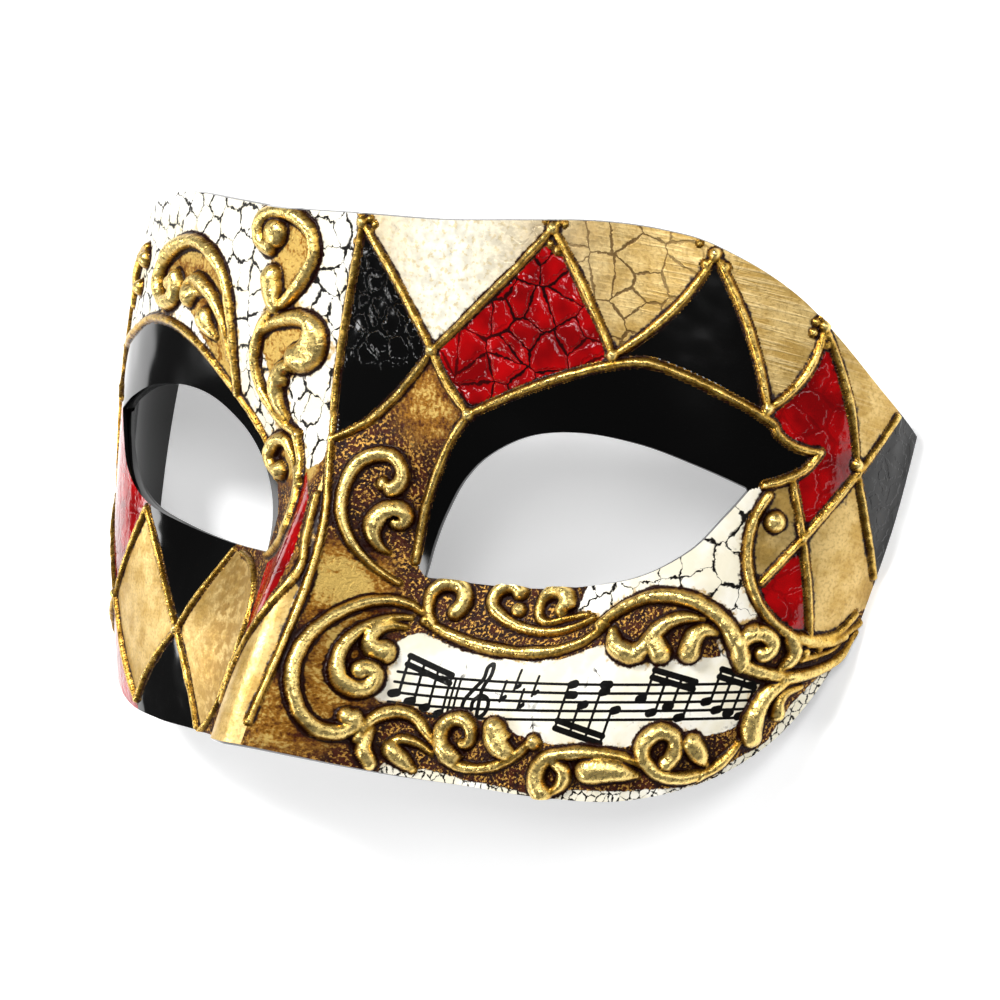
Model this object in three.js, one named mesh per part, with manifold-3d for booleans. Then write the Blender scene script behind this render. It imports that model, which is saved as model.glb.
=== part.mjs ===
// A Venetian half mask (colombina): one shell of papier-mache, with cords and scrolls
// of gesso piped on its face. Sizes are in millimetres.
//
// The mask lies on its back, on the straight rear edges of its two temples, which are
// the plane z = 0. +Z is the side of the face, +Y the forehead, +X the wearer's left.
//
// A place on the shell is given as a tape measure gives it: its girth, measured around
// the shell from the middle of the face (positive on the wearer's left), and its height
// above the eye line. The origin is at the middle of the mask's width and height.

import * as THREE from 'three';
import { mergeVertices } from 'three/addons/utils/BufferGeometryUtils.js';
import Module from 'manifold-3d';

// The section at eye level is a little squarer than an ellipse.
const HALF_WIDTH = 85;
const DEPTH = 46;
const SQUARENESS = 2.1;
const WALL = 2.2;
const EYE_LINE = 0.9;

// The section changes with height: each rate is for every 50 mm.
const RATE_HEIGHT = 50;
const WIDER_UPWARDS = 0.09;
const WAISTED = 0.07;
const DEEPER_UPWARDS = 0.22;
const BROW_SWELL = 0.04;

// The nose starts below the brow and grows in a straight line to the lower edge.
const NOSE = { top: 9.5, foot: -50, height: 26, halfWidthTop: 6.5, halfWidthFoot: 15 };
const SOCKET = { across: 36, up: -8, reachAcross: 21, reachUp: 17, depth: 10 };

// The outline of the wearer's left half, as [girth, height]. The other half mirrors it.
const TOP_EDGE = [[0, 45], [17, 45.2], [32, 46.7], [46, 48.5], [57, 49], [66, 48.1],
  [79, 43.3], [95, 32.3], [106, 27]];
const BOTTOM_EDGE = [[0, -50.9], [17, -50.3], [37, -49.1], [54, -48.3], [70.5, -46],
  [85, -40], [95, -31.5], [101, -21.5], [106, -6.3]];
const UPPER_LID = [[19, -15], [19.2, -9], [20.5, -3.5], [23.5, 2.5], [28.5, 7.5], [36.5, 11.7],
  [46, 13.5], [57, 13.3], [67, 11.7], [76.3, 9.8]];
const LOWER_LID = [[76.3, 9.8], [73.3, 4.5], [68.5, -2.5], [60, -8.3], [48, -11.5],
  [35, -13.5], [19, -15]];

// The piped relief: half width and height of a bead of gesso, and how deep it is sunk
// in the shell that carries it.
const CORD = { halfWidth: 0.85, height: 1.0 };
const SCROLL = { halfWidth: 1.25, height: 1.5 };
const SUNK = 0.7;
const LONGEST_STEP = 9;
const WIDEST_TURN = 52;

// Where the cords of the harlequin lattice meet.
const JOINTS = {
  crownMiddle: [1, 43.6], hub: [17.3, 23.2], valley: [-0.8, 5.5], crownSecond: [38.3, 46.2],
  browInner: [25, 13.6], browMiddle: [50.3, 27], crownThird: [65.3, 46.8], browOuter: [76.5, 23.5],
  crownFourth: [83.6, 39.6], temple: [93.5, 18.5], corner: [99.7, 28.7], heel: [104.8, 1.5],
  leafTip: [82.9, 12.9], leafFoot: [94.7, -11.8], fork: [82.2, -4.9],
  cheekTop: [-60.1, -9.5], cheekMiddle: [-44.4, -31.6], cheekFoot: [-63.5, -45.5],
  cheekSide: [-75.5, -26], cheekInner: [-32.6, -15], chin: [-36.5, -48.5],
  sideTop: [-90, -6], sideFoot: [-92, -33], sideRear: [-104.8, 6],
  foreheadOuter: [-80, 22.5], foreheadTop: [-83.6, 39.6],
};

const GIRTH_SAMPLES = 400;
const girthTable = [0];

function sectionPoint(angle) {
  const across = Math.abs(Math.sin(angle));
  const ahead = Math.max(Math.cos(angle), 0);
  const reach = (across ** SQUARENESS + ahead ** SQUARENESS) ** (-1 / SQUARENESS);
  return [Math.sin(angle) * reach, ahead * reach];
}

function sampleAngle(index) {
  return (index / GIRTH_SAMPLES) * (Math.PI / 2);
}

for (let i = 1; i <= GIRTH_SAMPLES; i += 1) {
  const [x0, z0] = sectionPoint(sampleAngle(i - 1));
  const [x1, z1] = sectionPoint(sampleAngle(i));
  const step = Math.hypot((x1 - x0) * HALF_WIDTH, (z1 - z0) * DEPTH);
  girthTable.push(girthTable[i - 1] + step);
}

const REAR_GIRTH = girthTable[GIRTH_SAMPLES];

function angleAt(girth) {
  const wanted = Math.min(Math.abs(girth), REAR_GIRTH);
  let i = 1;
  while (i < GIRTH_SAMPLES && girthTable[i] < wanted) {
    i += 1;
  }
  const share = (wanted - girthTable[i - 1]) / (girthTable[i] - girthTable[i - 1]);
  return Math.sign(girth) * sampleAngle(i - 1 + share);
}

function bell(distance, reach) {
  return Math.exp(-((distance / reach) ** 2));
}

function faceRelief(x, height) {
  const down = THREE.MathUtils.clamp((NOSE.top - height) / (NOSE.top - NOSE.foot), 0, 1.2);
  const halfWidth = THREE.MathUtils.lerp(NOSE.halfWidthTop, NOSE.halfWidthFoot, down);
  const nose = NOSE.height * down * bell(x, halfWidth);
  const hollow = bell(Math.abs(x) - SOCKET.across, SOCKET.reachAcross);
  return nose - SOCKET.depth * hollow * bell(height - SOCKET.up, SOCKET.reachUp);
}

function surfacePoint(girth, height) {
  const [across, ahead] = sectionPoint(angleAt(girth));
  const q = height / RATE_HEIGHT;
  const x = HALF_WIDTH * (1 + WIDER_UPWARDS * q - WAISTED * q * q) * across;
  const depth = DEPTH * (1 + DEEPER_UPWARDS * q + BROW_SWELL * q ** 3);
  return new THREE.Vector3(x, EYE_LINE + height, (depth + faceRelief(x, height)) * ahead);
}

function surfaceNormal(girth, height) {
  const inside = THREE.MathUtils.clamp(girth, 0.5 - REAR_GIRTH, REAR_GIRTH - 0.5);
  const along = surfacePoint(inside + 0.4, height).sub(surfacePoint(inside - 0.4, height));
  const up = surfacePoint(inside, height + 0.4).sub(surfacePoint(inside, height - 0.4));
  return along.cross(up).normalize();
}

function shellPoint(girth, height, lift) {
  return surfacePoint(girth, height).addScaledVector(surfaceNormal(girth, height), lift);
}

function curveThrough(points) {
  return new THREE.SplineCurve(points.map(([girth, height]) => new THREE.Vector2(girth, height)));
}

const EDGE_SAMPLES = 300;
const topSamples = curveThrough(TOP_EDGE).getPoints(EDGE_SAMPLES);
const bottomSamples = curveThrough(BOTTOM_EDGE).getPoints(EDGE_SAMPLES);

function edgeHeight(samples, girth) {
  const wanted = Math.min(Math.abs(girth), samples[samples.length - 1].x);
  const i = Math.max(samples.findIndex((point) => point.x >= wanted), 1);
  const [before, after] = [samples[i - 1], samples[i]];
  return THREE.MathUtils.mapLinear(wanted, before.x, after.x, before.y, after.y);
}

const wasm = await Module();
wasm.setup();

function solid(vertices, triangles) {
  const mesh = new wasm.Mesh({
    numProp: 3,
    vertProperties: new Float32Array(vertices.flatMap((v) => [v.x, v.y, v.z])),
    triVerts: new Uint32Array(triangles.flat()),
  });
  return new wasm.Manifold(mesh);
}

// A closed skin from rings of the same number of points, the first and last ring capped.
function skinRings(rings, caps) {
  const count = rings[0].length;
  const triangles = [];
  for (let ring = 0; ring + 1 < rings.length; ring += 1) {
    for (let i = 0; i < count; i += 1) {
      const next = (i + 1) % count;
      const low = ring * count;
      const high = low + count;
      triangles.push([low + i, low + next, high + next], [low + i, high + next, high + i]);
    }
  }
  const last = (rings.length - 1) * count;
  for (const [a, b, c] of caps) {
    triangles.push([a, c, b], [last + a, last + b, last + c]);
  }
  return solid(rings.flat(), triangles);
}

function fanCaps(count) {
  return Array.from({ length: count - 2 }, (_, i) => [0, i + 1, i + 2]);
}

// The shell: a grid of columns from one rear edge round the face to the other, each
// running from the lower outline to the upper one, on the face and behind it.
const HALF_COLUMNS = 19;
const ROWS = 11;

function columnGirth(column) {
  const share = column / HALF_COLUMNS;
  return REAR_GIRTH * (share - 0.07 * Math.sin(2 * Math.PI * share));
}

function shellSection(column) {
  const girth = columnGirth(column);
  const low = edgeHeight(bottomSamples, girth);
  const high = edgeHeight(topSamples, girth);
  const heights = Array.from({ length: ROWS + 1 }, (_, i) => THREE.MathUtils.lerp(low, high, i / ROWS));
  const back = heights.map((height) => shellPoint(girth, height, -WALL));
  const face = heights.map((height) => shellPoint(girth, height, 0)).reverse();
  const section = [...back, ...face];
  if (Math.abs(column) === HALF_COLUMNS) {
    section.forEach((point) => point.setZ(0));
  }
  return section;
}

function makeShell() {
  const sections = [];
  for (let column = -HALF_COLUMNS; column <= HALF_COLUMNS; column += 1) {
    sections.push(shellSection(column));
  }
  const count = sections[0].length;
  const caps = [];
  for (let i = 0; i < ROWS; i += 1) {
    const [a, b, c, d] = [i, i + 1, count - 2 - i, count - 1 - i];
    caps.push([a, b, c], [a, c, d]);
  }
  return skinRings(sections, caps);
}

// An eye opening: the outline between the two lids, cut straight through the wall.
const EYE_STEPS = 14;
const EYE_REACH = 9;

function makeEyeCutter(side) {
  const upper = curveThrough(UPPER_LID).getSpacedPoints(EYE_STEPS).slice(0, -1);
  const lower = curveThrough(LOWER_LID).getSpacedPoints(EYE_STEPS).slice(0, -1);
  const outline = [...upper, ...lower].map((point) => new THREE.Vector2(point.x * side, point.y));
  if (!THREE.ShapeUtils.isClockWise(outline)) {
    outline.reverse();
  }
  outline.reverse();
  const caps = THREE.ShapeUtils.triangulateShape(outline, []);
  const ring = (lift) => outline.map((point) => shellPoint(point.x, point.y, lift));
  return skinRings([ring(-EYE_REACH), ring(EYE_REACH)], caps);
}

// A path that runs straight from one joint to another, or bows by `sag` to its left.
function between(from, to, sag = 0) {
  const start = new THREE.Vector2(...JOINTS[from]);
  const end = new THREE.Vector2(...JOINTS[to]);
  const across = new THREE.Vector2(start.y - end.y, end.x - start.x).normalize();
  const steps = Math.ceil(start.distanceTo(end) / LONGEST_STEP);
  return Array.from({ length: steps + 1 }, (_, i) => {
    const t = i / steps;
    return start.clone().lerp(end, t).addScaledVector(across, 4 * sag * t * (1 - t));
  });
}

function through(...points) {
  const curve = curveThrough(points);
  return curve.getSpacedPoints(Math.ceil(curve.getLength() / LONGEST_STEP));
}

// A path drawn with compasses: it starts at a place with a heading in degrees, and
// follows arcs given as [radius, sweep], a positive sweep turning left.
function drawArcs([girth, height], heading, ...arcs) {
  const path = [new THREE.Vector2(girth, height)];
  let direction = THREE.MathUtils.degToRad(heading);
  for (const [radius, sweep] of arcs) {
    const length = radius * THREE.MathUtils.degToRad(Math.abs(sweep));
    const steps = Math.ceil(Math.max(Math.abs(sweep) / WIDEST_TURN, length / LONGEST_STEP));
    const turn = THREE.MathUtils.degToRad(sweep) / steps;
    const chord = 2 * radius * Math.sin(Math.abs(turn) / 2);
    for (let i = 0; i < steps; i += 1) {
      const point = path[path.length - 1].clone();
      point.x += chord * Math.cos(direction + turn / 2);
      point.y += chord * Math.sin(direction + turn / 2);
      path.push(point);
      direction += turn;
    }
  }
  return path;
}

// A bead of gesso along a path: a low profile of three or four sides, thinner at its ends.
function bead(path, { halfWidth, height }, sides) {
  const rings = path.map((place, i) => {
    const before = path[Math.max(i - 1, 0)];
    const after = path[Math.min(i + 1, path.length - 1)];
    const normal = surfaceNormal(place.x, place.y);
    const travel = surfacePoint(after.x, after.y).sub(surfacePoint(before.x, before.y));
    const left = normal.clone().cross(travel).normalize();
    const full = 0.7 + 0.3 * Math.sin((Math.PI * i) / (path.length - 1));
    const at = (across, lift) => shellPoint(place.x, place.y, lift)
      .addScaledVector(left, across * halfWidth * full);
    const foot = [at(-1, -SUNK), at(1, -SUNK)];
    const crest = sides === 3 ? [at(0, height * full)] : [at(0.5, height * full), at(-0.5, height * full)];
    return [...foot, ...crest];
  });
  return skinRings(rings, fanCaps(sides));
}

// A round drop of gesso.
const DROP_SIDES = 6;

function drop([girth, height], radius, rise) {
  const normal = surfaceNormal(girth, height);
  const side = new THREE.Vector3(0, 1, 0).cross(normal).normalize();
  const up = normal.clone().cross(side);
  const ring = (share, lift) => Array.from({ length: DROP_SIDES }, (_, i) => {
    const angle = (2 * Math.PI * i) / DROP_SIDES;
    return shellPoint(girth, height, lift)
      .addScaledVector(side, radius * share * Math.cos(angle))
      .addScaledVector(up, radius * share * Math.sin(angle));
  });
  return skinRings([ring(1, -SUNK), ring(0.9, rise * 0.5), ring(0.4, rise)], fanCaps(DROP_SIDES));
}

const latticeCords = [
  through([1, 43.6], [-1.5, 26.6], [-2.3, 12], [-0.8, 5.5], [2.9, -7.4], [4.4, -20], [4.6, -34], [4, -46.5]),
  between('crownMiddle', 'hub', 0.4),
  between('valley', 'hub', -1.6),
  between('hub', 'crownSecond', -0.5),
  between('crownSecond', 'browMiddle', 0.3),
  between('hub', 'browInner', -0.6),
  between('browMiddle', 'crownThird', -1.6),
  between('crownThird', 'browOuter', 1),
  between('browOuter', 'crownFourth', -1.8),
  between('crownFourth', 'temple', 0.8),
  between('corner', 'fork', 0.4),
  between('leafTip', 'leafFoot'),
  between('temple', 'heel', -0.8),
  through([94.7, -11.8], [100, -9.9], [103.6, -5.5]),
];

const browCords = [
  through([25, 13.6], [34.3, 18.4], [44.8, 23.3], [55, 26.7], [63.5, 25.7], [76.5, 22]),
  through([76.5, 22], [81.2, 18.8], [86.5, 18.7]),
  through([86.5, 18.7], [82.4, 13.2], [78.6, 11]),
  through([25, 13.6], [21, 7.7], [17.6, -1], [16.8, -7.5], [16.9, -12.5]),
  through([-18, -1.5], [-22.2, 6.4], [-33.8, 16.4], [-46, 23.4], [-58.3, 25.9], [-70, 24.2], [-80, 22.5]),
  through([-80, 22.5], [-84, 18], [-79.5, 12]),
];

const cheekCords = [
  between('cheekTop', 'cheekSide', 1),
  between('cheekTop', 'cheekMiddle', -0.8),
  between('cheekMiddle', 'cheekFoot', -0.5),
  between('cheekSide', 'cheekFoot', -1),
  between('cheekMiddle', 'cheekInner'),
  between('cheekMiddle', 'chin', 0.8),
  between('cheekSide', 'sideTop'),
  between('cheekSide', 'sideFoot'),
  between('sideTop', 'sideRear'),
  between('foreheadOuter', 'foreheadTop'),
  drawArcs([-29, -15.5], -10, [11.5, -95], [31, -48]),
  through([0.5, -5], [1.5, -12.5], [2.6, -19], [-0.5, -27], [-4, -35], [-6.5, -44]),
];

const scrolls = [
  // Under the wearer's left eye.
  drawArcs([21.5, -22.5], -20, [42.5, 35], [16.5, 40]),
  drawArcs([23, -22.5], 140, [5.5, -55], [3, -215]),
  drawArcs([53, -16.5], -140, [17.5, -70], [2.5, -195]),
  drawArcs([51.6, -16.1], -166, [32.9, 12], [2.9, -280]),
  drawArcs([55, -17.5], 55, [17, -110]),
  drawArcs([65, -20], 80, [8.5, -75]),
  // The leaf cord round the temple, and the curls below it.
  drawArcs([79.5, 9.5], -115, [15.5, 150]),
  drawArcs([86.5, -16.5], 15, [1.5, 120], [3, 215], [22, 50], [8.5, 45]),
  drawArcs([92.6, -12.2], 3, [21.5, 39]),
  drawArcs([95.5, -18.5], -165, [8, 105]),
  // Along the lower edge.
  drawArcs([76.6, -38], 47, [3.1, 283], [11, 105]),
  drawArcs([54.4, -47.3], 151, [3.6, -130], [33, -30]),
  drawArcs([32.5, -45], -20, [14.5, 80]),
  drawArcs([35.7, -42.1], -2, [1.5, 110], [3.2, 249]),
  drawArcs([17.5, -45], 95, [5.5, -135], [26, 15]),
  // Beside the nose.
  drawArcs([22.5, -22.5], 135, [8, 95], [16.5, 70], [9, 25], [3, 130]),
  drawArcs([19.2, -22.5], -171, [9.1, 107], [2.3, 165], [1.1, 140]),
  drawArcs([15.5, -17], 165, [15, -85], [5.5, -80], [3, -155]),
  drawArcs([12.8, -12.1], 169, [3.9, -155], [1.2, -215]),
  // On the forehead, over the wearer's right eye.
  drawArcs([-10.5, 6], 160, [24, -30], [9.5, -100], [22, 30], [5, 75], [10.5, 60], [3, 160]),
  drawArcs([-22, 23], 40, [14, -55], [3.5, -200]),
  drawArcs([-16.3, 16.3], -165, [2.4, 118], [42, -7]),
  drawArcs([-28.4, 12.5], 95, [100, 9], [15.3, 111], [4.5, 172], [2.4, 100]),
  drawArcs([-30, 18.5], 100, [18.5, 55], [3.5, 80]),
  drawArcs([-66.7, 40], 177, [6.6, 81], [300, -1]),
  through([-6.9, -3.2], [-11, 1.6], [-13.5, 4.5], [-16.3, 5], [-18.5, 3.6], [-19, 1.8], [-17.6, 0.2]),
  drawArcs([-10.7, 5.6], -63, [39, -21], [3, -57], [23, -31]),
];

const knobs = ['crownMiddle', 'crownSecond', 'crownThird', 'crownFourth', 'hub', 'browInner',
  'browMiddle', 'browOuter', 'temple', 'cheekMiddle', 'cheekSide'];
const KNOB = { radius: 1.5, rise: 1.5 };

// The drops inside the curls, as [girth, height, radius].
const drops = [
  [37.2, -17.5, 1.6], [46, -16, 1.6], [61.5, -20.6, 2], [68, -19, 2], [73.6, -18.3, 1.9],
  [91.7, -15.2, 1.5], [81, -34.6, 2], [64, -41.9, 2.5], [42.4, -39.8, 2.5], [15.2, -42, 1.8],
  [16, -29, 2.2], [9.9, -0.5, 1.5], [81.7, 5.5, 1.9], [-19.4, 40.9, 2.6], [-19.4, 31.9, 2.7],
  [-10, 20.8, 2.6], [-43, 29.8, 2.1], [-37, 24.2, 2.1], [-51, 32, 2], [-66.2, 37.6, 1.9],
  [-68.8, 32.5, 1.7], [-15.8, -0.2, 1.9],
];

const relief = [
  ...[...latticeCords, ...browCords, ...cheekCords].map((path) => bead(path, CORD, 3)),
  ...scrolls.map((path) => bead(path, SCROLL, 4)),
  ...knobs.map((name) => drop(JOINTS[name], KNOB.radius, KNOB.rise)),
  ...drops.map(([girth, height, radius]) => drop([girth, height], radius, SCROLL.height)),
];

const SMALLEST_FACET = 0.125;
const shell = makeShell().subtract(makeEyeCutter(1)).subtract(makeEyeCutter(-1));
const maskSolid = relief.reduce((whole, piece) => whole.add(piece), shell).simplify(SMALLEST_FACET);

function geometryOf(manifold) {
  const mesh = manifold.getMesh();
  const geometry = new THREE.BufferGeometry();
  geometry.setAttribute('position', new THREE.BufferAttribute(mesh.vertProperties, 3));
  geometry.setIndex(new THREE.BufferAttribute(mesh.triVerts, 1));
  return mergeVertices(geometry, 1e-4);
}

const gilding = new THREE.MeshStandardMaterial({ color: 0xc9a04a, roughness: 0.4, metalness: 0.6 });

const mask = new THREE.Mesh(geometryOf(maskSolid), gilding);
mask.name = 'mask';

const part = new THREE.Group();
part.add(mask);

export default part;
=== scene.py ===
# A Venetian half mask (colombina) lying on its back on a pale floor: a shell of
# papier-mache with piped gesso ornament, gilded, lacquered and crackled by hand.
# The scene is in metres, and the mask's own sizes are written in millimetres. A place on
# the shell is [girth, height]: the girth is measured with a tape around the shell from
# the middle of the face, and the height from the eye line.

import math

import bpy
import numpy as np
from mathutils import Matrix, Vector


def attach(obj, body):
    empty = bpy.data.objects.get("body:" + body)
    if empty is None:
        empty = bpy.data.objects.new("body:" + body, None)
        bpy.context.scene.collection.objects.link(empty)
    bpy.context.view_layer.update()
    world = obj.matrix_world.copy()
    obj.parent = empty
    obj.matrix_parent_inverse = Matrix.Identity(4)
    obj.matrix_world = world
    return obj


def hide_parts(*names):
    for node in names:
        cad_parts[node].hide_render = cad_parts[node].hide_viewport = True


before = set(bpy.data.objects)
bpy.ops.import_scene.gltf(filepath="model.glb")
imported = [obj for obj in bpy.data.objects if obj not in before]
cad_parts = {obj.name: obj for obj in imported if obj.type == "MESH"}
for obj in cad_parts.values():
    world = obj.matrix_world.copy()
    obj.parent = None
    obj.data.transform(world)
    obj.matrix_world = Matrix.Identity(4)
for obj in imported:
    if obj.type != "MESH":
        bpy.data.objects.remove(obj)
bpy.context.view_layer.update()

# The camera. It stands in front of the wearer's left cheek and looks down on the mask.
CAMERA_PLACE = (0.35932, -0.06086, 0.47777)
CAMERA_RIGHT = (0.79595, 0.22003, -0.56397)
CAMERA_UP = (-0.11157, 0.96897, 0.22057)
CAMERA_BACK = (0.59500, -0.11265, 0.79579)
LENS_LENGTH = 114.37
SENSOR_WIDTH = 36

camera_data = bpy.data.cameras.new("camera")
camera_data.lens = LENS_LENGTH
camera_data.sensor_width = SENSOR_WIDTH
camera = bpy.data.objects.new("camera", camera_data)
camera.matrix_world = Matrix((
    (CAMERA_RIGHT[0], CAMERA_UP[0], CAMERA_BACK[0], CAMERA_PLACE[0]),
    (CAMERA_RIGHT[1], CAMERA_UP[1], CAMERA_BACK[1], CAMERA_PLACE[1]),
    (CAMERA_RIGHT[2], CAMERA_UP[2], CAMERA_BACK[2], CAMERA_PLACE[2]),
    (0, 0, 0, 1),
))
bpy.context.scene.collection.objects.link(camera)
bpy.context.scene.camera = camera

# The shell. The real one is several layers of paper pasted in a plaster mould and dried
# there, 2.2 mm thick: a wide curved band with a nose and two eye sockets pressed in it.
# It is a fine grid over girth and height, bent to the same curves as the CAD solid.
MM = 0.001
HALF_WIDTH = 85
DEPTH = 46
SQUARENESS = 2.1
WALL = 2.2
EYE_LINE = 0.9
RATE_HEIGHT = 50
WIDER_UPWARDS = 0.09
WAISTED = 0.07
DEEPER_UPWARDS = 0.22
BROW_SWELL = 0.04
NOSE = {"top": 9.5, "foot": -50, "past_foot": 1.2, "height": 26, "half_width_top": 6.5,
        "half_width_foot": 15}
SOCKET = {"across": 36, "up": -8, "reach_across": 21, "reach_up": 17, "depth": 10}
GIRTH_SAMPLES = 400
SLOPE_STEP = 0.4
REAR_MARGIN = 0.5


def section_point(angle):
    """A place on the shell's level section, with its half width and its depth as 1."""
    across = np.abs(np.sin(angle))
    ahead = np.maximum(np.cos(angle), 0)
    reach = (across**SQUARENESS + ahead**SQUARENESS) ** (-1 / SQUARENESS)
    return np.sin(angle) * reach, ahead * reach


sample_angles = np.linspace(0, math.pi / 2, GIRTH_SAMPLES + 1)
sample_x, sample_z = section_point(sample_angles)
girth_steps = np.hypot(np.diff(sample_x) * HALF_WIDTH, np.diff(sample_z) * DEPTH)
girth_table = np.concatenate([[0], np.cumsum(girth_steps)])
REAR_GIRTH = girth_table[-1]


def bell(distance, reach):
    """A soft mound, 1 at its middle."""
    return np.exp(-((distance / reach) ** 2))


def face_relief(x, height):
    """How far the nose and the eye sockets stand out from the band, or sink in it."""
    down = np.clip((NOSE["top"] - height) / (NOSE["top"] - NOSE["foot"]), 0, NOSE["past_foot"])
    widening = NOSE["half_width_foot"] - NOSE["half_width_top"]
    nose = NOSE["height"] * down * bell(x, NOSE["half_width_top"] + widening * down)
    hollow = bell(np.abs(x) - SOCKET["across"], SOCKET["reach_across"])
    return nose - SOCKET["depth"] * hollow * bell(height - SOCKET["up"], SOCKET["reach_up"])


def surface_point(girth, height):
    """Where a place of the paper lies in space."""
    girth, height = np.broadcast_arrays(girth, height)
    angle = np.sign(girth) * np.interp(np.abs(girth), girth_table, sample_angles)
    across, ahead = section_point(angle)
    rate = height / RATE_HEIGHT
    x = HALF_WIDTH * (1 + WIDER_UPWARDS * rate - WAISTED * rate * rate) * across
    depth = DEPTH * (1 + DEEPER_UPWARDS * rate + BROW_SWELL * rate**3)
    return np.stack([x, EYE_LINE + height, (depth + face_relief(x, height)) * ahead], -1)


def surface_normal(girth, height):
    """Which way the paper faces there."""
    inside = np.clip(girth, REAR_MARGIN - REAR_GIRTH, REAR_GIRTH - REAR_MARGIN)
    along = (surface_point(inside + SLOPE_STEP, height)
             - surface_point(inside - SLOPE_STEP, height))
    up = surface_point(inside, height + SLOPE_STEP) - surface_point(inside, height - SLOPE_STEP)
    normal = np.cross(along, up)
    return normal / np.linalg.norm(normal, axis=-1, keepdims=True)


def curve_through(points, spacing=0.5):
    """A smooth curve through the points, as places about that many millimetres apart."""
    points = np.array(points, float)
    before = np.vstack([points[:1], points[:-2]])
    after = np.vstack([points[2:], points[-1:]])
    places = []
    for a, b, c, d in zip(before, points[:-1], points[1:], after):
        steps = max(int(np.hypot(*(c - b)) / spacing), 2)
        t = np.arange(steps)[:, None] / steps
        leave, arrive = (c - a) / 2, (d - b) / 2
        places.append((2 * b - 2 * c + leave + arrive) * t**3
                      + (3 * c - 3 * b - 2 * leave - arrive) * t**2 + leave * t + b)
    return np.vstack([*places, points[-1:]])


# The outline of the wearer's left half and of its eye opening; the other half mirrors it.
TOP_EDGE = [(0, 45), (17, 45.2), (32, 46.7), (46, 48.5), (57, 49), (66, 48.1), (79, 43.3),
            (95, 32.3), (106, 27)]
BOTTOM_EDGE = [(0, -50.9), (17, -50.3), (37, -49.1), (54, -48.3), (70.5, -46), (85, -40),
               (95, -31.5), (101, -21.5), (106, -6.3)]
UPPER_LID = [(19, -15), (19.2, -9), (20.5, -3.5), (23.5, 2.5), (28.5, 7.5), (36.5, 11.7),
             (46, 13.5), (57, 13.3), (67, 11.7), (76.3, 9.8)]
LOWER_LID = [(76.3, 9.8), (73.3, 4.5), (68.5, -2.5), (60, -8.3), (48, -11.5), (35, -13.5),
             (19, -15)]
MIRROR = np.array([-1, 1])
GRID_BOTTOM = -51.5
GRID_TOP = 50.5
FACE_SPACING = 0.25
EYE_WINDOW = {"across": 47, "reach_across": 31, "reach_up": 17}

half_top = curve_through(TOP_EDGE)
half_bottom = curve_through(BOTTOM_EDGE)
half_top[-1, 0] = half_bottom[-1, 0] = REAR_GIRTH
upper_outline = np.vstack([half_top[::-1] * MIRROR, half_top[1:]])
lower_outline = np.vstack([half_bottom[::-1] * MIRROR, half_bottom[1:]])
rim_outline = np.vstack([upper_outline, lower_outline[::-1]])
left_eye = np.vstack([curve_through(UPPER_LID)[:-1], curve_through(LOWER_LID)[:-1]])
right_eye = left_eye * MIRROR


def inside_polygon(places, polygon):
    """Whether each place is inside a closed polygon, by counting its crossings."""
    x, y = places[..., 0], places[..., 1]
    inside = np.zeros(x.shape, bool)
    for (x0, y0), (x1, y1) in zip(polygon, np.roll(polygon, -1, axis=0)):
        if y0 != y1:
            crossing = (y0 > y) != (y1 > y)
            inside ^= crossing & (x < x0 + (y - y0) * (x1 - x0) / (y1 - y0))
    return inside


def pull_to_outline(places, outline):
    """The nearest place on a closed outline to each given place."""
    best = np.full(len(places), np.inf)
    pulled = places.copy()
    for start, end in zip(outline, np.roll(outline, -1, axis=0)):
        step = end - start
        if step @ step > 0:
            share = np.clip((places - start) @ step / (step @ step), 0, 1)
            place = start + share[:, None] * step
            away = np.linalg.norm(places - place, axis=1)
            nearer = away < best
            best[nearer] = away[nearer]
            pulled[nearer] = place[nearer]
    return pulled


def make_grid(spacing):
    """A grid over the whole shell, trimmed to its outline and its eye openings."""
    columns = round(2 * REAR_GIRTH / spacing)
    rows = round((GRID_TOP - GRID_BOTTOM) / spacing)
    girths = np.linspace(-REAR_GIRTH, REAR_GIRTH, columns + 1)
    heights = np.linspace(GRID_BOTTOM, GRID_TOP, rows + 1)
    places = np.stack(np.meshgrid(girths, heights), -1)
    middles = (places[:-1, :-1] + places[1:, 1:]) / 2
    kept = inside_polygon(middles, rim_outline)
    kept &= ~inside_polygon(middles, left_eye) & ~inside_polygon(middles, right_eye)
    touching = np.zeros(places.shape[:2], int)
    for row, column in ((0, 0), (0, 1), (1, 0), (1, 1)):
        touching[row:row + rows, column:column + columns] += kept
    edge = (touching > 0) & (touching < 4)
    edge[:, [0, -1]] = False
    from_eye = np.abs(np.abs(places[..., 0]) - EYE_WINDOW["across"])
    near_eye = from_eye < EYE_WINDOW["reach_across"]
    near_eye &= np.abs(places[..., 1]) < EYE_WINDOW["reach_up"]
    for outline, part in ((left_eye, edge & near_eye & (places[..., 0] > 0)),
                          (right_eye, edge & near_eye & (places[..., 0] < 0)),
                          (rim_outline, edge & ~near_eye)):
        places[part] = pull_to_outline(places[part], outline)
    return {"spacing": spacing, "places": places, "kept": kept}


face = make_grid(FACE_SPACING)
shell_places = surface_point(face["places"][..., 0], face["places"][..., 1])
shell_normals = surface_normal(face["places"][..., 0], face["places"][..., 1])

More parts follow.
